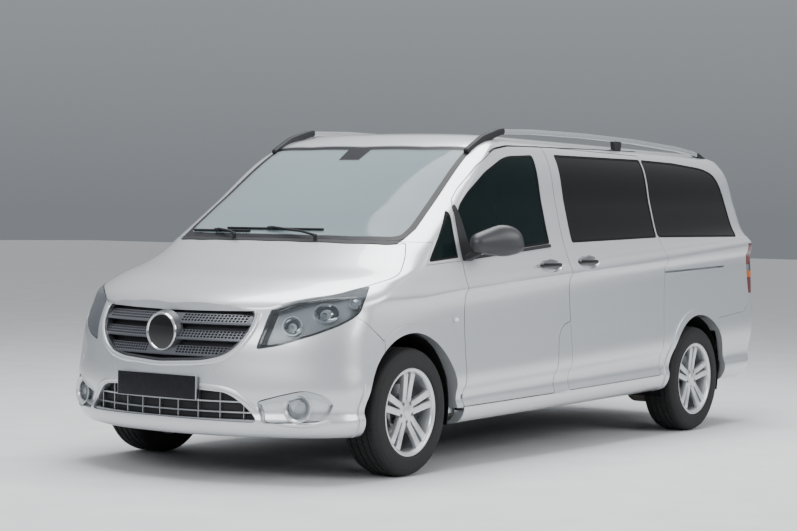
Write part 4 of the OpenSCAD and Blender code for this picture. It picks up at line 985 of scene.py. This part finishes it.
# %% Plates, parking sensors and tow-eye cover
plate = coat(block((-260, -2577.5, 412), (260, -2566, 532), 4), frit)
plate.name = "front_plate_blank"
frame_bar = carve(block((-263, -2576, 409), (263, -2562, 535), 4), "DIFFERENCE", block((-257, -2600, 415), (257, -2500, 529), 4))
frame_bar.name = "front_plate_frame"
seat_on("body", "gloss_black", plate, coat(frame_bar, bright_bar), replaces=["front_plate"])
plate = coat(block((-260, 2560, 800), (260, 2570, 910), 3), gloss_black)
plate.name = "rear_plate_blank"
seat_on("tailgate", "gloss_black", plate, replaces=["rear_plate"])
sensors = []
for x, z in ((345, 546), (725, 563), (915, 563)):
    for side in (-1, 1):
        at, out = nose_at(side * x, z, -0.4)
        sensors.append(lathe([(-3, 0), (-3, 13), (0.6, 13), (0.6, 10.5), (-0.6, 10.5), (-0.6, 9), (0.8, 8.4), (0.8, 0)],
            at, out, 40))
seat_on("body", "body_paint", coat(joined("parking_sensors", sensors), cast_alloy))

# %% [markdown]
# ## Trim on the sides
# Black handles lie across oval cups. The mirrors are swept bowls on a black cheek at the
# window's corner; each bowl is wrapped round two ellipsoids, remeshed and smoothed, then cut
# flat for its glass.

# %% Handles, belt strips, cheeks and drip seam
def on_side(name, points, outer, inner, finish, r=0):
    sheet = carve(layer(outer, inner, 0, inner), "INTERSECT", block((300, -3000, 0), (1300, 3000, 3000)))
    sheet.name = name
    return coat(carve(sheet, "INTERSECT", side_tool(points, r=r)), finish)


def pull(name, aft, up, x):
    grip = prism(rounded([(aft - 104, up - 15), (aft + 104, up - 13), (aft + 104, up + 13), (aft - 104, up + 15)], 13),
        "x", x + 1, x + 17)
    modify(grip, "BEVEL", width=0.006, segments=3, limit_method="ANGLE", angle_limit=radians(50))
    stems = [drum((x - 14, aft + s, up), (1, 0, 0), 9, 18, 20) for s in (-88, 88)]
    return coat(joined(name, [grip, *stems]), gloss_black)


front_pull = pull("front_door_pull", -302, 1079, 939)
slide_pull = pull("sliding_door_pull", 122, 1094, 937)
belt = on_side("belt_strip", [(-1160, 1110), (-1160, 1127), (-248, 1199), (-248, 1181)], -5.2, -0.3, moulded_black)
cheek = on_side("mirror_cheek", [(-1161, 1110), (-1161, 1393), (-1134, 1414), (-1100, 1330), (-1068, 1190), (-1050, 1119)],
    -1.6, 2, moulded_black, 6)
DRIP = [(-700, 1703), (-634, 1728), (-482, 1749), (500, 1763), (1156, 1772)]
drip = on_side("drip_seam", DRIP + [(a - 2, b + 5.5) for a, b in reversed(DRIP)], -1.2, 3, rubber, 14)
over_door = carve(layer(3, 10), "INTERSECT", side_tool(DOOR, grow=SEAM - 0.4, r=18), block((300, -1120, 1400), (1300, -94, 1800)))
carve(over_door, "DIFFERENCE", side_tool(DOOR, grow=0.8, r=14))
over_door.name = "door_gap_seal"
coat(over_door, rubber)
repeater = coat(ball((944, -1268, 800), (12, 14, 12), 16, "side_repeater"), lamp_white)
for piece in (slide_pull, drip, over_door, repeater):
    seat_on("body", {"side_repeater": "lamp_lens"}.get(piece.name, "gloss_black"), piece,
        mirrored(piece, piece.name + "_right"))

# %% Rubber round the panes
def seal(name, outline, r):
    ring = carve(layer(1.4, 5), "INTERSECT", block((300, -3000, 0), (1300, 3000, 3000)), side_tool(outline, grow=-0.6, r=r))
    ring.name = name
    return coat(carve(ring, "DIFFERENCE", side_tool(outline, grow=-12, r=r)), rubber)


door_seal = seal("front_door_seal", DOOR_WINDOW, 21)
fixed_seals = [seal("sliding_door_seal", SLIDE_WINDOW, 17), seal("rear_side_seal", REAR_WINDOW, 29),
    seal("quarter_seal", QUARTER, 11)]
seat_on("body", "dark_plastic", *fixed_seals, *[mirrored(p, p.name + "_right") for p in fixed_seals])

# %% Mirrors
SWEEP = radians(-30)


def egg(centre, radii):
    shape = ball((0, 0, 0), radii, 20)
    return moved(shape, Matrix.Translation(Vector(centre) * MM) @ Matrix.Rotation(SWEEP, 4, "Z"))


bowl_shape = joined("mirror_bowl", [egg((980, -1120, 1206), (50, 52, 56)), egg((1052, -995, 1220), (51, 124, 86)), egg((1060, -1000, 1190), (40, 130, 52))])
edit(bowl_shape, (bpy.ops.mesh.convex_hull, {}))
modify(bowl_shape, "REMESH", mode="VOXEL", voxel_size=0.006)
modify(bowl_shape, "SMOOTH", factor=0.6, iterations=12)
FACE = Matrix.Translation(Vector((1094, -915, 1216)) * MM) @ Matrix.Rotation(radians(22), 4, "Z")
behind = moved(block((-300, 0, -300), (300, 300, 300)), FACE)
pane_slab = moved(block((-300, -3, -300), (300, 0.5, 300)), FACE)
mid = Matrix.Translation(Vector((1030, -1010, 1216)) * MM)
glass = moved(copied(bowl_shape, "mirror_pane"), mid @ Matrix.Diagonal((0.9, 1, 0.88, 1)) @ mid.inverted())
carve(bowl_shape, "DIFFERENCE", behind)
recess = moved(copied(glass, "recess"), Matrix.Identity(4))
carve(recess, "INTERSECT", moved(block((-300, -9, -300), (300, 6, 300)), FACE))
carve(bowl_shape, "DIFFERENCE", recess)
carve(glass, "INTERSECT", moved(pane_slab, Matrix.Translation(FACE.to_3x3() @ Vector((0, -5 * MM, 0)))))
foot = joined("mirror_foot", [block((884, -1150, 1106), (902, -1072, 1126)), ball((985, -1118, 1165), (21, 21, 21), 12)])
edit(foot, (bpy.ops.mesh.convex_hull, {}))
modify(foot, "BEVEL", width=0.006, segments=3, limit_method="ANGLE", angle_limit=radians(35))
carve(foot, "DIFFERENCE", skin(-0.3, 0, fine=False))
for piece, finish in ((bowl_shape, mirror_cap), (glass, mirror_glass), (foot, moulded_black)):
    coat(piece, finish)
for number, (piece, slot) in enumerate(((bowl_shape, "dark_plastic"), (glass, "bright_metal"), (foot, "dark_plastic"),
        (front_pull, "dark_plastic"), (belt, "dark_plastic"), (cheek, "dark_plastic"), (door_seal, "dark_plastic"))):
    seat_on("front_door_left", slot, piece, replaces=() if number else ["door_trim_left"])
    seat_on("front_door_right", slot, mirrored(piece, piece.name + "_right"),
        replaces=() if number else ["door_trim_right"])

# %% [markdown]
# The roof rails are bowed aluminium tubes of oval section. Their ends and the middle foot are
# dark mouldings.

# %% Roof rails
RAIL_TOP = [(-790, 1722), (-640, 1800), (-470, 1845), (-100, 1858), (500, 1860), (1100, 1850), (1700, 1824),
    (1960, 1800), (2110, 1752)]
RAIL_LOW = [(-770, 1716), (-620, 1778), (-450, 1818), (-90, 1830), (500, 1832), (1100, 1822), (1700, 1796),
    (1940, 1776), (2070, 1746)]
bar = prism(rounded(RAIL_TOP + RAIL_LOW[::-1], 160, 5), "x", 664, 692)
modify(bar, "BEVEL", width=0.009, segments=4, limit_method="ANGLE", angle_limit=radians(50))
ends = joined("rail_end_cutter", [block((600, -900, 1650), (760, -430, 1900)), block((600, 1975, 1650), (760, 2200, 1900))])
caps = carve(copied(bar, "roof_rail_ends"), "INTERSECT", ends, keep=True)
carve(bar, "DIFFERENCE", ends)
bar.name = "roof_rail_bar"
feet = [caps]
for outline in ([(-806, 1700), (-806, 1722), (-648, 1804), (-480, 1848), (-424, 1855), (-418, 1822), (-560, 1784), (-650, 1700)],
        [(866, 1700), (846, 1832), (944, 1829), (924, 1700)], [(1976, 1802), (2112, 1756), (2100, 1690), (2010, 1690)]):
    foot_block = prism(rounded(outline, 12, 4), "x", 662, 694)
    feet.append(modify(foot_block, "BEVEL", width=0.007, segments=3, limit_method="ANGLE", angle_limit=radians(50)) or foot_block)
feet = carve(joined("roof_rail_feet", feet), "DIFFERENCE", skin(-0.3, -0.3))
coat(bar, anodised)
coat(feet, moulded_black)
seat_on("body", "rail_alloy", bar, mirrored(bar, "roof_rail_bar_right"), replaces=["roof_rails"])
seat_on("body", "dark_plastic", feet, mirrored(feet, "roof_rail_feet_right"))

# %% [markdown]
# Tail lamps are one red moulding with an amber and a clear band. The tailgate has a grip strip
# over the plate and a high brake lamp over its window.

# %% Tail lamps and tailgate trim
lamp_block = block((700, 2200, 860), (1100, 2700, 1210))


def tail_piece(name, outer, inner, z0, z1, finish):
    piece = carve(layer(outer, inner, outer, inner), "INTERSECT", lamp_tail_tool(-0.5), block((700, 2200, z0), (1100, 2700, z1)))
    piece.name = name
    return coat(carve(piece, "DIFFERENCE", front_tool(GATE, GATE_Y - SEAM, 2700, SEAM, 20)), finish)


tails = [tail_piece("tail_lamp_housing", 8, 54, 868.5, 1199, lamp_grey), tail_piece("tail_lamp_red_top", 0, 7, 1062, 1199.5, red_lens),
    tail_piece("tail_lamp_clear", 0, 7, 1018, 1061.5, clear_lens), tail_piece("tail_lamp_amber", 0, 7, 974, 1017.5, amber_lens),
    tail_piece("tail_lamp_red_low", 0, 7, 868.5, 973.5, red_lens)]
bpy.data.objects.remove(lamp_block)
for number, piece in enumerate(tails):
    seat_on("body", "red_lens", piece, mirrored(piece, piece.name + "_right"), replaces=() if number else ["tail_lamps"])
for name, outline, outer, finish, slot in (
        ("tailgate_grip", [(-300, 924), (300, 924), (300, 952), (-300, 952)], -4, gloss_black, "gloss_black"),
        ("high_brake_lamp", [(-130, 1712), (130, 1712), (130, 1728), (-130, 1728)], -2, red_lens, "red_lens")):
    piece = carve(layer(outer, 2, 0, 2), "INTERSECT", front_tool(outline, 2295, 2700, r=6))
    piece.name = name
    seat_on("tailgate", slot, coat(piece, finish))

# %% Wipers
arms = []
for post_at, first, last, z in (((-250, -1676), -690, -190, 1247), ((300, -1668), -385, 285, 1263)):
    blade = [nose_at(first + (last - first) * i / 8, z + 3 * i / 8, -11)[0] for i in range(9)]
    post, grip = Vector((*post_at, 1232)), blade[4] + Vector((0, -6, 9))
    arms.append(drum((*post_at, 1151), (0, 0, 1), 9.5, 81, 24))
    arms.append(drum((*post_at, 1226), (0, 0, 1), 14, 14, 24, 10, 2))
    arms.append(tube([post + Vector((0, 0, 3)), post.lerp(grip, 0.3) + Vector((0, -3, 9)), grip], 6.5, 4))
    arms.append(tube(blade, 6.5, 4))
    arms.append(tube([p + Vector((0, 5, -4.5)) for p in blade], 3.2, 3))
    arms.append(drum(grip - Vector((22, 0, 6)), (1, 0, 0), 10, 44, 20))
seat_on("body", "dark_plastic", coat(joined("wiper_arms", arms), moulded_black), replaces=["wipers"])

# %% [markdown]
# ## Wheels and tyres
# A cast wheel is a spun rim and a spun face that is cut away between five pairs of spokes.
# One wheel and one tyre are modelled at the origin, with the axle along X, and copied.

# %% Cast wheel
RIM = [(718, 203), (712, 222), (710, 229), (724, 229), (733, 216), (770, 211), (898, 215), (905, 226), (912, 229.5),
    (918.5, 228.5), (920, 224), (918, 215), (912, 208), (902, 204), (770, 199)]
FACE_PROFILE = [(858, 0), (862, 40), (872, 100), (880, 160), (884, 206), (908, 206), (909, 195), (903, 150), (893, 70),
    (896, 50), (896, 0)]
rim = lathe(RIM, steps=96, name="rim")
dish_face = lathe(FACE_PROFILE, steps=96, name="wheel_face")
spokes = drum((840, 0, 0), (1, 0, 0), 64, 90, 64)
for k in range(5):
    for s in (-1, 1):
        outline = [(40, s * 4), (120, s * 7), (212, s * 14), (212, s * 52), (150, s * 43), (66, s * 36), (40, s * 32)]
        bar = prism([(r, t) for r, t in outline], "x", 840, 930)
        carve(spokes, "UNION", moved(bar, Matrix.Rotation(radians(72 * k + 90), 4, "X")))
carve(spokes, "INTERSECT", dish_face)
for k in range(5):
    turn = Matrix.Rotation(radians(72 * k + 54), 4, "X")
    carve(spokes, "DIFFERENCE", moved(drum((850, 52, 0), (1, 0, 0), 11, 80, 24), turn))
modify(spokes, "BEVEL", width=0.0035, segments=2, limit_method="ANGLE", angle_limit=radians(40))
coat(spokes, cast_alloy)
coat(rim, cast_alloy)
wheel = joined("cast_wheel", [spokes, rim])
cap = coat(lathe([(890, 0), (890, 33), (898, 33), (901, 30), (903, 15), (903.5, 0)], steps=48), cast_alloy)
cap.name = "wheel_cap"
bolts = []
for k in range(5):
    turn = Matrix.Rotation(radians(72 * k + 54), 4, "X")
    bolts.append(moved(drum((866, 52, 0), (1, 0, 0), 8.5, 14, 6, 7.5, 1), turn))
bolts.append(drum((804, 0, 0), (1, 0, 0), 50, 62, 48))
bolts = coat(joined("wheel_bolts", bolts), hinge_steel)
hub = coat(lathe([(814, 52), (814, 142), (822, 142), (822, 138), (828, 138), (828, 142), (836, 142), (836, 92), (846, 84),
    (846, 52)], steps=72, name="brake_disc"), machined)

# %% Tyre
half = [(712, 229.5), (706.5, 238), (704.8, 256), (705.4, 259), (704.9, 262), (706.5, 284), (710.5, 302), (712.6, 303),
    (713, 306), (720, 319), (731, 327), (744, 330.8), (751, 331.5)]
tread = []
for g in (-1.5, -0.5, 0.5, 1.5):
    tread += [(817 + 38 * g - 5, 332.6), (817 + 38 * g - 3.5, 325), (817 + 38 * g + 3.5, 325), (817 + 38 * g + 5, 332.6)]
tyre = lathe(half + tread + [(1634 - x, r) for x, r in reversed(half)], steps=96, name="tyre")
cuts = []
for k in range(72):
    for lo, hi, lean, shift in ((700, 746, 0, 0), (888, 934, 0, 2.5), (768, 790, 25, 1), (806, 828, -25, 2), (844, 866, 25, 3)):
        cut = block((-(hi - lo) / 2, -1.4, 326), ((hi - lo) / 2, 1.4, 340))
        moved(cut, Matrix.Rotation(radians(lean), 4, "Z"))
        moved(cut, Matrix.Translation(Vector(((lo + hi) / 2 * MM, 0, 0))))
        cuts.append(moved(cut, Matrix.Rotation(radians(5 * k + shift), 4, "X")))
carve(tyre, "DIFFERENCE", joined("tread_cuts", cuts))
coat(tyre, tyre_rubber, smooth=28)
calliper = carve(lathe([(806, 98), (806, 164), (852, 164), (852, 98), (840, 98), (840, 150), (810, 150), (810, 98)], steps=72),
    "INTERSECT", block((790, 60, -62), (870, 200, 62)))
modify(calliper, "BEVEL", width=0.004, segments=2, limit_method="ANGLE", angle_limit=radians(40))
coat(calliper, cast_iron)
calliper.name = "brake_calliper"
print("wheel", [len(o.data.polygons) for o in (wheel, cap, bolts, hub, tyre, calliper)])

# %% Four corners
for end, y in (("front", FRONT_Y), ("rear", REAR_Y)):
    for side, s in (("left", 1), ("right", -1)):
        body = "wheel_" + end + "_" + side
        place = Matrix.Translation(Vector((0, y, AXLE_Z)) * MM) @ Matrix.Diagonal((s, 1, 1, 1))
        for piece, slot, node in ((wheel, "wheel_alloy", body), (tyre, "tyre_rubber", body.replace("wheel", "tyre")),
                (cap, "wheel_alloy", None), (bolts, "bare_steel", None), (hub, "bare_steel", None)):
            twin = moved(copied(piece, piece.name + "_" + end + "_" + side), place)
            seat_on(body, slot, twin, replaces=[node] if node else ())
        carrier = "knuckle_" + side if end == "front" else "body"
        seat_on(carrier, "cast_steel", moved(copied(calliper, "calliper_" + end + "_" + side), place))
for part in (wheel, tyre, cap, bolts, hub, calliper):
    bpy.data.objects.remove(part)

# %% [markdown]
# ## Cabin
# Seat pads are cloth filled by pressure: each starts a little smaller than it ends, is remeshed,
# swells in a short simulation, and is held back where it would swell too far. Five different
# pads are simulated, and the other seats get copies. Sewn channels are pressed in afterwards.

# %% Padding by simulation
FLOOR_Z, SQUAT = 470, 0.86


def seat_outline(row_y, points, r=24):
    return rounded([(row_y + a, FLOOR_Z + SQUAT * b) for a, b in points], r, 4)


def swell(pad, voxel, most):
    """Fills a pad with cloth pressure, with no point moving more than most millimetres."""
    modify(pad, "REMESH", mode="VOXEL", voxel_size=voxel * MM)
    start = [v.co.copy() for v in pad.data.vertices]
    only(pad)
    cloth = pad.modifiers.new("cloth", "CLOTH")
    cloth.settings.use_pressure = True
    cloth.settings.uniform_pressure_force = 4
    cloth.settings.effector_weights.gravity = 0
    cloth.settings.quality = 4
    cloth.collision_settings.use_collision = False
    for frame_number in range(1, 21):
        bpy.context.scene.frame_set(frame_number)
    bpy.ops.object.modifier_apply(modifier="cloth")
    bpy.context.scene.frame_set(1)
    for v, at in zip(pad.data.vertices, start):
        move = v.co - at
        if move.length > most * MM:
            v.co = at + move.normalized() * most * MM
    modify(pad, "SMOOTH", factor=0.5, iterations=3)
    modify(pad, "SUBSURF", levels=1)
    return pad


def sewn(pad, lines, reach=9, depth=7):
    """Presses channels into a pad, along lines of constant width x or height along its slope."""
    middle = sum((v.co for v in pad.data.vertices), Vector()) / len(pad.data.vertices)
    for v in pad.data.vertices:
        for axis, at in lines:
            gap = abs(v.co[axis] / MM - at)
            if gap < 2.5 * reach:
                v.co -= (v.co - middle).normalized() * depth * MM * 2.718 ** -((gap / reach) ** 2)
    return pad


CUSHION = [(-492, 306), (-492, 386), (-420, 384), (-62, 366), (6, 372), (-34, 306)]
BACKREST = [(-44, 340), (62, 402), (204, 884), (126, 902), (48, 798), (-50, 420)]
HEADREST = [(130, 940), (153, 1080), (231, 1071), (206, 935)]
BACK_SHELL = [(-56, 302), (-16, 480), (100, 896), (214, 896), (70, 302)]
BASE_SHELL = [(-470, 262), (-470, 304), (-36, 304), (-24, 262)]


def soft(name, points, row_y, width, most, r=24, lines=(), voxel=13):
    pad = prism(seat_outline(row_y, points, r), "x", -width / 2, width / 2)
    modify(pad, "BEVEL", width=min(r, 26) * MM, segments=3, limit_method="ANGLE", angle_limit=radians(60))
    swell(pad, voxel, most)
    sewn(pad, lines)
    pad.name = name
    return coat(pad, seat_cloth, smooth=60)


def stitched_edge(name, points, row_y, width):
    """Piping round the top of a pad, a round cord on the seam between its faces."""
    line = [(row_y + a, FLOOR_Z + SQUAT * b) for a, b in points]
    return coat(joined(name, [tube([(x, *p) for p in line], 3.2) for x in (-width / 2, width / 2)]), seat_cloth)


def shell_under(name, points, row_y, width, finish, r=14):
    part = prism(seat_outline(row_y, points, r), "x", -width / 2, width / 2)
    modify(part, "BEVEL", width=0.009, segments=3, limit_method="ANGLE", angle_limit=radians(50))
    part.name = name
    return coat(part, finish)


def place_seat(kit, x):
    for number, piece in enumerate(kit):
        twin = copied(piece, piece.name + ("_l" if x > 0 else "_r" if x < 0 else "_m"))
        moved(twin, Matrix.Translation((x * MM, 0, 0)))
        seat_on("body", piece["finish"], twin)


def kit_of(pieces):
    for piece, finish, pad in pieces:
        piece["finish"], piece["pad"] = finish, pad
    return [p[0] for p in pieces]


def headrest(prefix, row_y, most=5):
    head = soft(prefix + "_headrest", HEADREST, row_y, 216, most, 26, voxel=9)
    stems = [drum((x, row_y + 172, FLOOR_Z + SQUAT * 850), (0, 0, 1), 7, SQUAT * 100, 20) for x in (-60, 60)]
    return [(head, "seat_fabric", True), (coat(joined(prefix + "_stems", stems), chrome), "bare_steel", False)]


# %% Front seats
Y = -240
cushion = soft("front_cushion", CUSHION, Y, 476, 8, lines=[(0, -150), (0, 150), (1, Y - 250)])
back = soft("front_back", BACKREST, Y, 476, 8, lines=[(0, -150), (0, 150), (2, FLOOR_Z + SQUAT * 560)])
plinth = block((-178, Y - 438, FLOOR_Z + 1), (178, Y - 42, FLOOR_Z + SQUAT * 262), 12)
carve(plinth, "DIFFERENCE", block((-130, Y - 500, FLOOR_Z + 40), (130, Y + 50, FLOOR_Z + 170), 10))
plinth.name = "front_plinth"
side_cap = coat(block((-246, Y - 380, FLOOR_Z + SQUAT * 240), (-222, Y + 20, FLOOR_Z + SQUAT * 330), 11), lining)
side_cap.name = "front_side_cap"
place_kit = kit_of([(cushion, "seat_fabric", True), (back, "seat_fabric", True),
    (shell_under("front_back_shell", BACK_SHELL, Y, 452, lining), "trim_plastic", False),
    (shell_under("front_base_shell", BASE_SHELL, Y, 452, lining), "trim_plastic", False),
    (coat(plinth, black_steel), "floor_steel", False), (side_cap, "trim_plastic", False)] + headrest("front", Y))
for x in (400, -400):
    place_seat(place_kit, x)
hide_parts("front_seats")
scrap = list(place_kit)

# %% Two benches of three places
for name, Y, width, step in (("middle", 760, 1300, 430), ("last", 1700, 1180, 400)):
    wide = step - 6
    cushion = soft(name + "_cushion", CUSHION, Y, wide - 10, 7, lines=[(0, -120), (0, 120)], voxel=15)
    back = soft(name + "_back", BACKREST, Y, wide - 10, 7, lines=[(2, FLOOR_Z + SQUAT * 560)], voxel=15)
    kit = kit_of([(cushion, "seat_fabric", True), (back, "seat_fabric", True)] + headrest(name, Y))
    for x in (step, 0, -step):
        place_seat(kit, x)
    frame_parts = kit_of([
        (shell_under(name + "_back_shell", BACK_SHELL, Y, width - 30, lining), "trim_plastic", False),
        (shell_under(name + "_base_shell", BASE_SHELL, Y, width - 30, lining), "trim_plastic", False),
        (coat(joined(name + "_legs", [block((x - 22, Y - 436, FLOOR_Z + 1), (x + 22, Y - 44, FLOOR_Z + SQUAT * 262), 8)
            for x in (-width / 2 + 120, -150, 150, width / 2 - 120)]), black_steel), "floor_steel", False)])
    place_seat(frame_parts, 0)
    scrap += kit + frame_parts
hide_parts("rear_seats")
for piece in scrap:
    bpy.data.objects.remove(piece)

# %% [markdown]
# The dashboard is one soft moulding with a hood over the dials, round air vents and a screen in
# the middle. The wheel has a leather rim, three spokes and a padded hub.

# %% Dashboard
DASH = [(-1209, 792), (-1209, 1159), (-1150, 1184), (-1000, 1149), (-931, 1079), (-961, 881), (-1100, 801)]
dash = prism(rounded(DASH, 34, 6), "x", -769, 769)
carve(dash, "UNION", ball((400, -1030, 1118), (175, 92, 62), 28))
carve(dash, "DIFFERENCE", block((-130, -990, 950), (130, -900, 1070), 8),
    block((-640, -975, 905), (-250, -940, 1010), 10), ball((400, -985, 1120), (140, 70, 42), 24),
    block((-160, -1100, 800), (160, -920, 930), 14))
modify(dash, "BEVEL", width=0.006, segments=2, limit_method="ANGLE", angle_limit=radians(45))
coat(dash, dash_skin)
dash.name = "dashboard_moulding"
dash_trim = [coat(block((-128, -984, 952), (128, -976, 1068), 3), gloss_black)]
for x in (-700, -205, 205, 700):
    vent = lathe([(0, 34), (10, 40), (14, 40), (14, 33), (4, 28), (4, 0), (0, 0)], (x, -968, 1070), (0, 0.9, 0.45), 40)
    dash_trim.append(coat(vent, gloss_black))
for x in (352, 448):
    dash_trim.append(coat(lathe([(0, 0), (0, 44), (6, 44), (6, 40), (2, 38), (2, 0)], (x, -1047, 1112), (0, 0.94, 0.34), 48), chrome))
dash_trim.append(coat(block((-636, -958, 908), (-254, -951, 1007), 3), dash_skin))
console = coat(block((-150, -1090, 700), (150, -965, 905), 18), lining)
gear = joined("gear_lever", [drum((40, -985, 880), (0, 0.75, 0.66), 8, 90, 20), ball((40, -917, 940), (19, 19, 26), 16)])
column = joined("steering_column", [drum((400, -941.4, 1044.9), (0, 0.883, 0.469), 24, 152, 32),
    drum((400, -900, 1067), (0, 0.883, 0.469), 38, 70, 32, 30, 6)])
dash_trim = joined("dashboard_trim", dash_trim)
seat_on("body", "trim_plastic", dash, replaces=["dashboard"])
seat_on("body", "gloss_black", dash_trim)
console.name = "centre_console"
seat_on("body", "trim_plastic", console, coat(gear, gloss_black), coat(column, dash_skin))

# %% Steering wheel
AT_STEER = Matrix.Translation(Vector((400, -800, 1120)) * MM) @ Matrix.Rotation(radians(-62), 4, "X")
bpy.ops.mesh.primitive_torus_add(major_radius=0.175, minor_radius=0.0145, major_segments=96, minor_segments=24)
rim = bpy.context.object
rim.name = "steering_rim"
coat(rim, wheel_leather)
spokes = []
for turn in (90, 210, 330):
    bar = prism(rounded([(30, -24), (100, -13), (172, -16), (172, 16), (100, 13), (30, 24)], 10, 3), "z", -6, 6)
    modify(bar, "BEVEL", width=0.003, segments=2, limit_method="ANGLE", angle_limit=radians(50))
    spokes.append(moved(bar, Matrix.Rotation(radians(turn), 4, "Z")))
hub_pad = lathe([(-7, 0), (-7, 50), (-2, 61), (6, 61), (13, 50), (15, 25), (15, 0)], steps=56, axis=(0, 0, 1))
hub_pad = coat(joined("steering_hub", [hub_pad, *spokes]), dash_skin)
for piece in (rim, hub_pad):
    moved(piece, AT_STEER)
seat_on("steering_wheel", "dark_plastic", rim, hub_pad, replaces=["steering_wheel"])

# %% [markdown]
# Behind each front door stands its hinge post in body colour, cut round at three heights where
# the door swings.

# %% Posts
def posts():
    hinge_post = block((787, -1207, 292), (860, -1132, 1120), 6)
    for z0, z1 in ((280, 495), (595, 875), (975, 1130)):
        carve(hinge_post, "DIFFERENCE", drum((915, -1135, z0), (0, 0, 1), 64, z1 - z0, 48))
    return hinge_post


left_posts = coat(posts(), paint)
left_posts.name = "hinge_post"
seat_on("body", "body_paint", left_posts, mirrored(left_posts, "hinge_post_right"))

# %% [markdown]
# ## Under the van
# The solids of the underbody are right as packed, so they keep their meshes and only get their
# real finishes.

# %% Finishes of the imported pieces
UNDER = {"floor_pan": black_steel, "bulkhead": moulded_black, "arch_liners": rubber, "door_hinges": hinge_steel,
    "lid_hinges": hinge_steel, "engine_block": engine_alloy, "front_subframe": black_steel, "rear_axle": cast_iron,
    "exhaust": exhaust_steel, "fuel_tank": tank_plastic, "knuckle_left": cast_iron, "knuckle_right": cast_iron}
for node, finish in UNDER.items():
    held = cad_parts[node]
    for place in held.material_slots:
        place.material = finish
left_over = [n for n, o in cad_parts.items() if n not in UNDER and not o.hide_render]
print("packed pieces still shown:", left_over)

# %% [markdown]
# ## Camera, floor and light
# The camera stands at the left front, a little above the bonnet's height, with a long lens: it
# was fitted to the wheels, lamps and seams in the photograph.

# %% Stage
for helper in (shell, left_shell):
    bpy.data.objects.remove(helper)
bpy.ops.object.select_all(action="DESELECT")
eye = bpy.data.cameras.new("portrait")
eye.lens, eye.sensor_width = 93.3, 36
camera = bpy.data.objects.new("portrait", eye)
bpy.context.collection.objects.link(camera)
AZ, EL, ROLL = radians(35.06), radians(1.36), radians(0.96)
forward = Vector((-sin(AZ) * cos(EL), cos(AZ) * cos(EL), -sin(EL)))
right = Vector((cos(AZ), sin(AZ), 0))
above = right.cross(forward)
right, above = right * cos(ROLL) + above * sin(ROLL), above * cos(ROLL) - right * sin(ROLL)
camera.matrix_world = Matrix.Translation((6.962, -10.387, 1.341)) @ Matrix((right, above, -forward)).transposed().to_4x4()
eye.clip_end = 200
bpy.context.scene.camera = camera

bpy.ops.mesh.primitive_plane_add(size=120, location=(0, 0, -0.001))
floor = bpy.context.object
floor.name = "studio_floor"
coat(floor, grain(material("pale_matt_studio_floor", "#c9cacb", 0, 0.7)[0], 400, 0, ("#c6c7c8", "#cccdce")))


def soft_box(name, at, to, size, power):
    data = bpy.data.lights.new(name, "AREA")
    data.shape, data.size, data.size_y, data.energy = "RECTANGLE", size[0], size[1], power
    lamp = bpy.data.objects.new(name, data)
    bpy.context.collection.objects.link(lamp)
    lamp.location = at
    lamp.rotation_mode = "QUATERNION"
    lamp.rotation_quaternion = (Vector(at) - Vector(to)).to_track_quat("Z", "Y")
    return lamp


soft_box("overhead", (0, 0, 7.5), (0, 0, 0), (5, 9), 1150)
soft_box("side_left", (9, 1.5, 4.5), (0.5, 0, 1), (8, 3.5), 520)
soft_box("front", (2.5, -10, 4.5), (0, -1, 1), (6, 3), 380)
world = bpy.data.worlds.new("soft_grey_sky")
bpy.context.scene.world = world
world.use_nodes = True
sky = world.node_tree
way = add(sky, "ShaderNodeTexCoord")
height = add(sky, "ShaderNodeSeparateXYZ", links={"Vector": way.outputs["Generated"]})
tones = add(sky, "ShaderNodeValToRGB", links={"Fac": height.outputs["Z"]})
tones.color_ramp.elements[0].position, tones.color_ramp.elements[0].color = 0.0, linear("#8b9095")
tones.color_ramp.elements[1].position, tones.color_ramp.elements[1].color = 0.5, linear("#f0f3f7")
sky.links.new(tones.outputs["Color"], sky.nodes["Background"].inputs["Color"])
sky.nodes["Background"].inputs["Strength"].default_value = 0.8
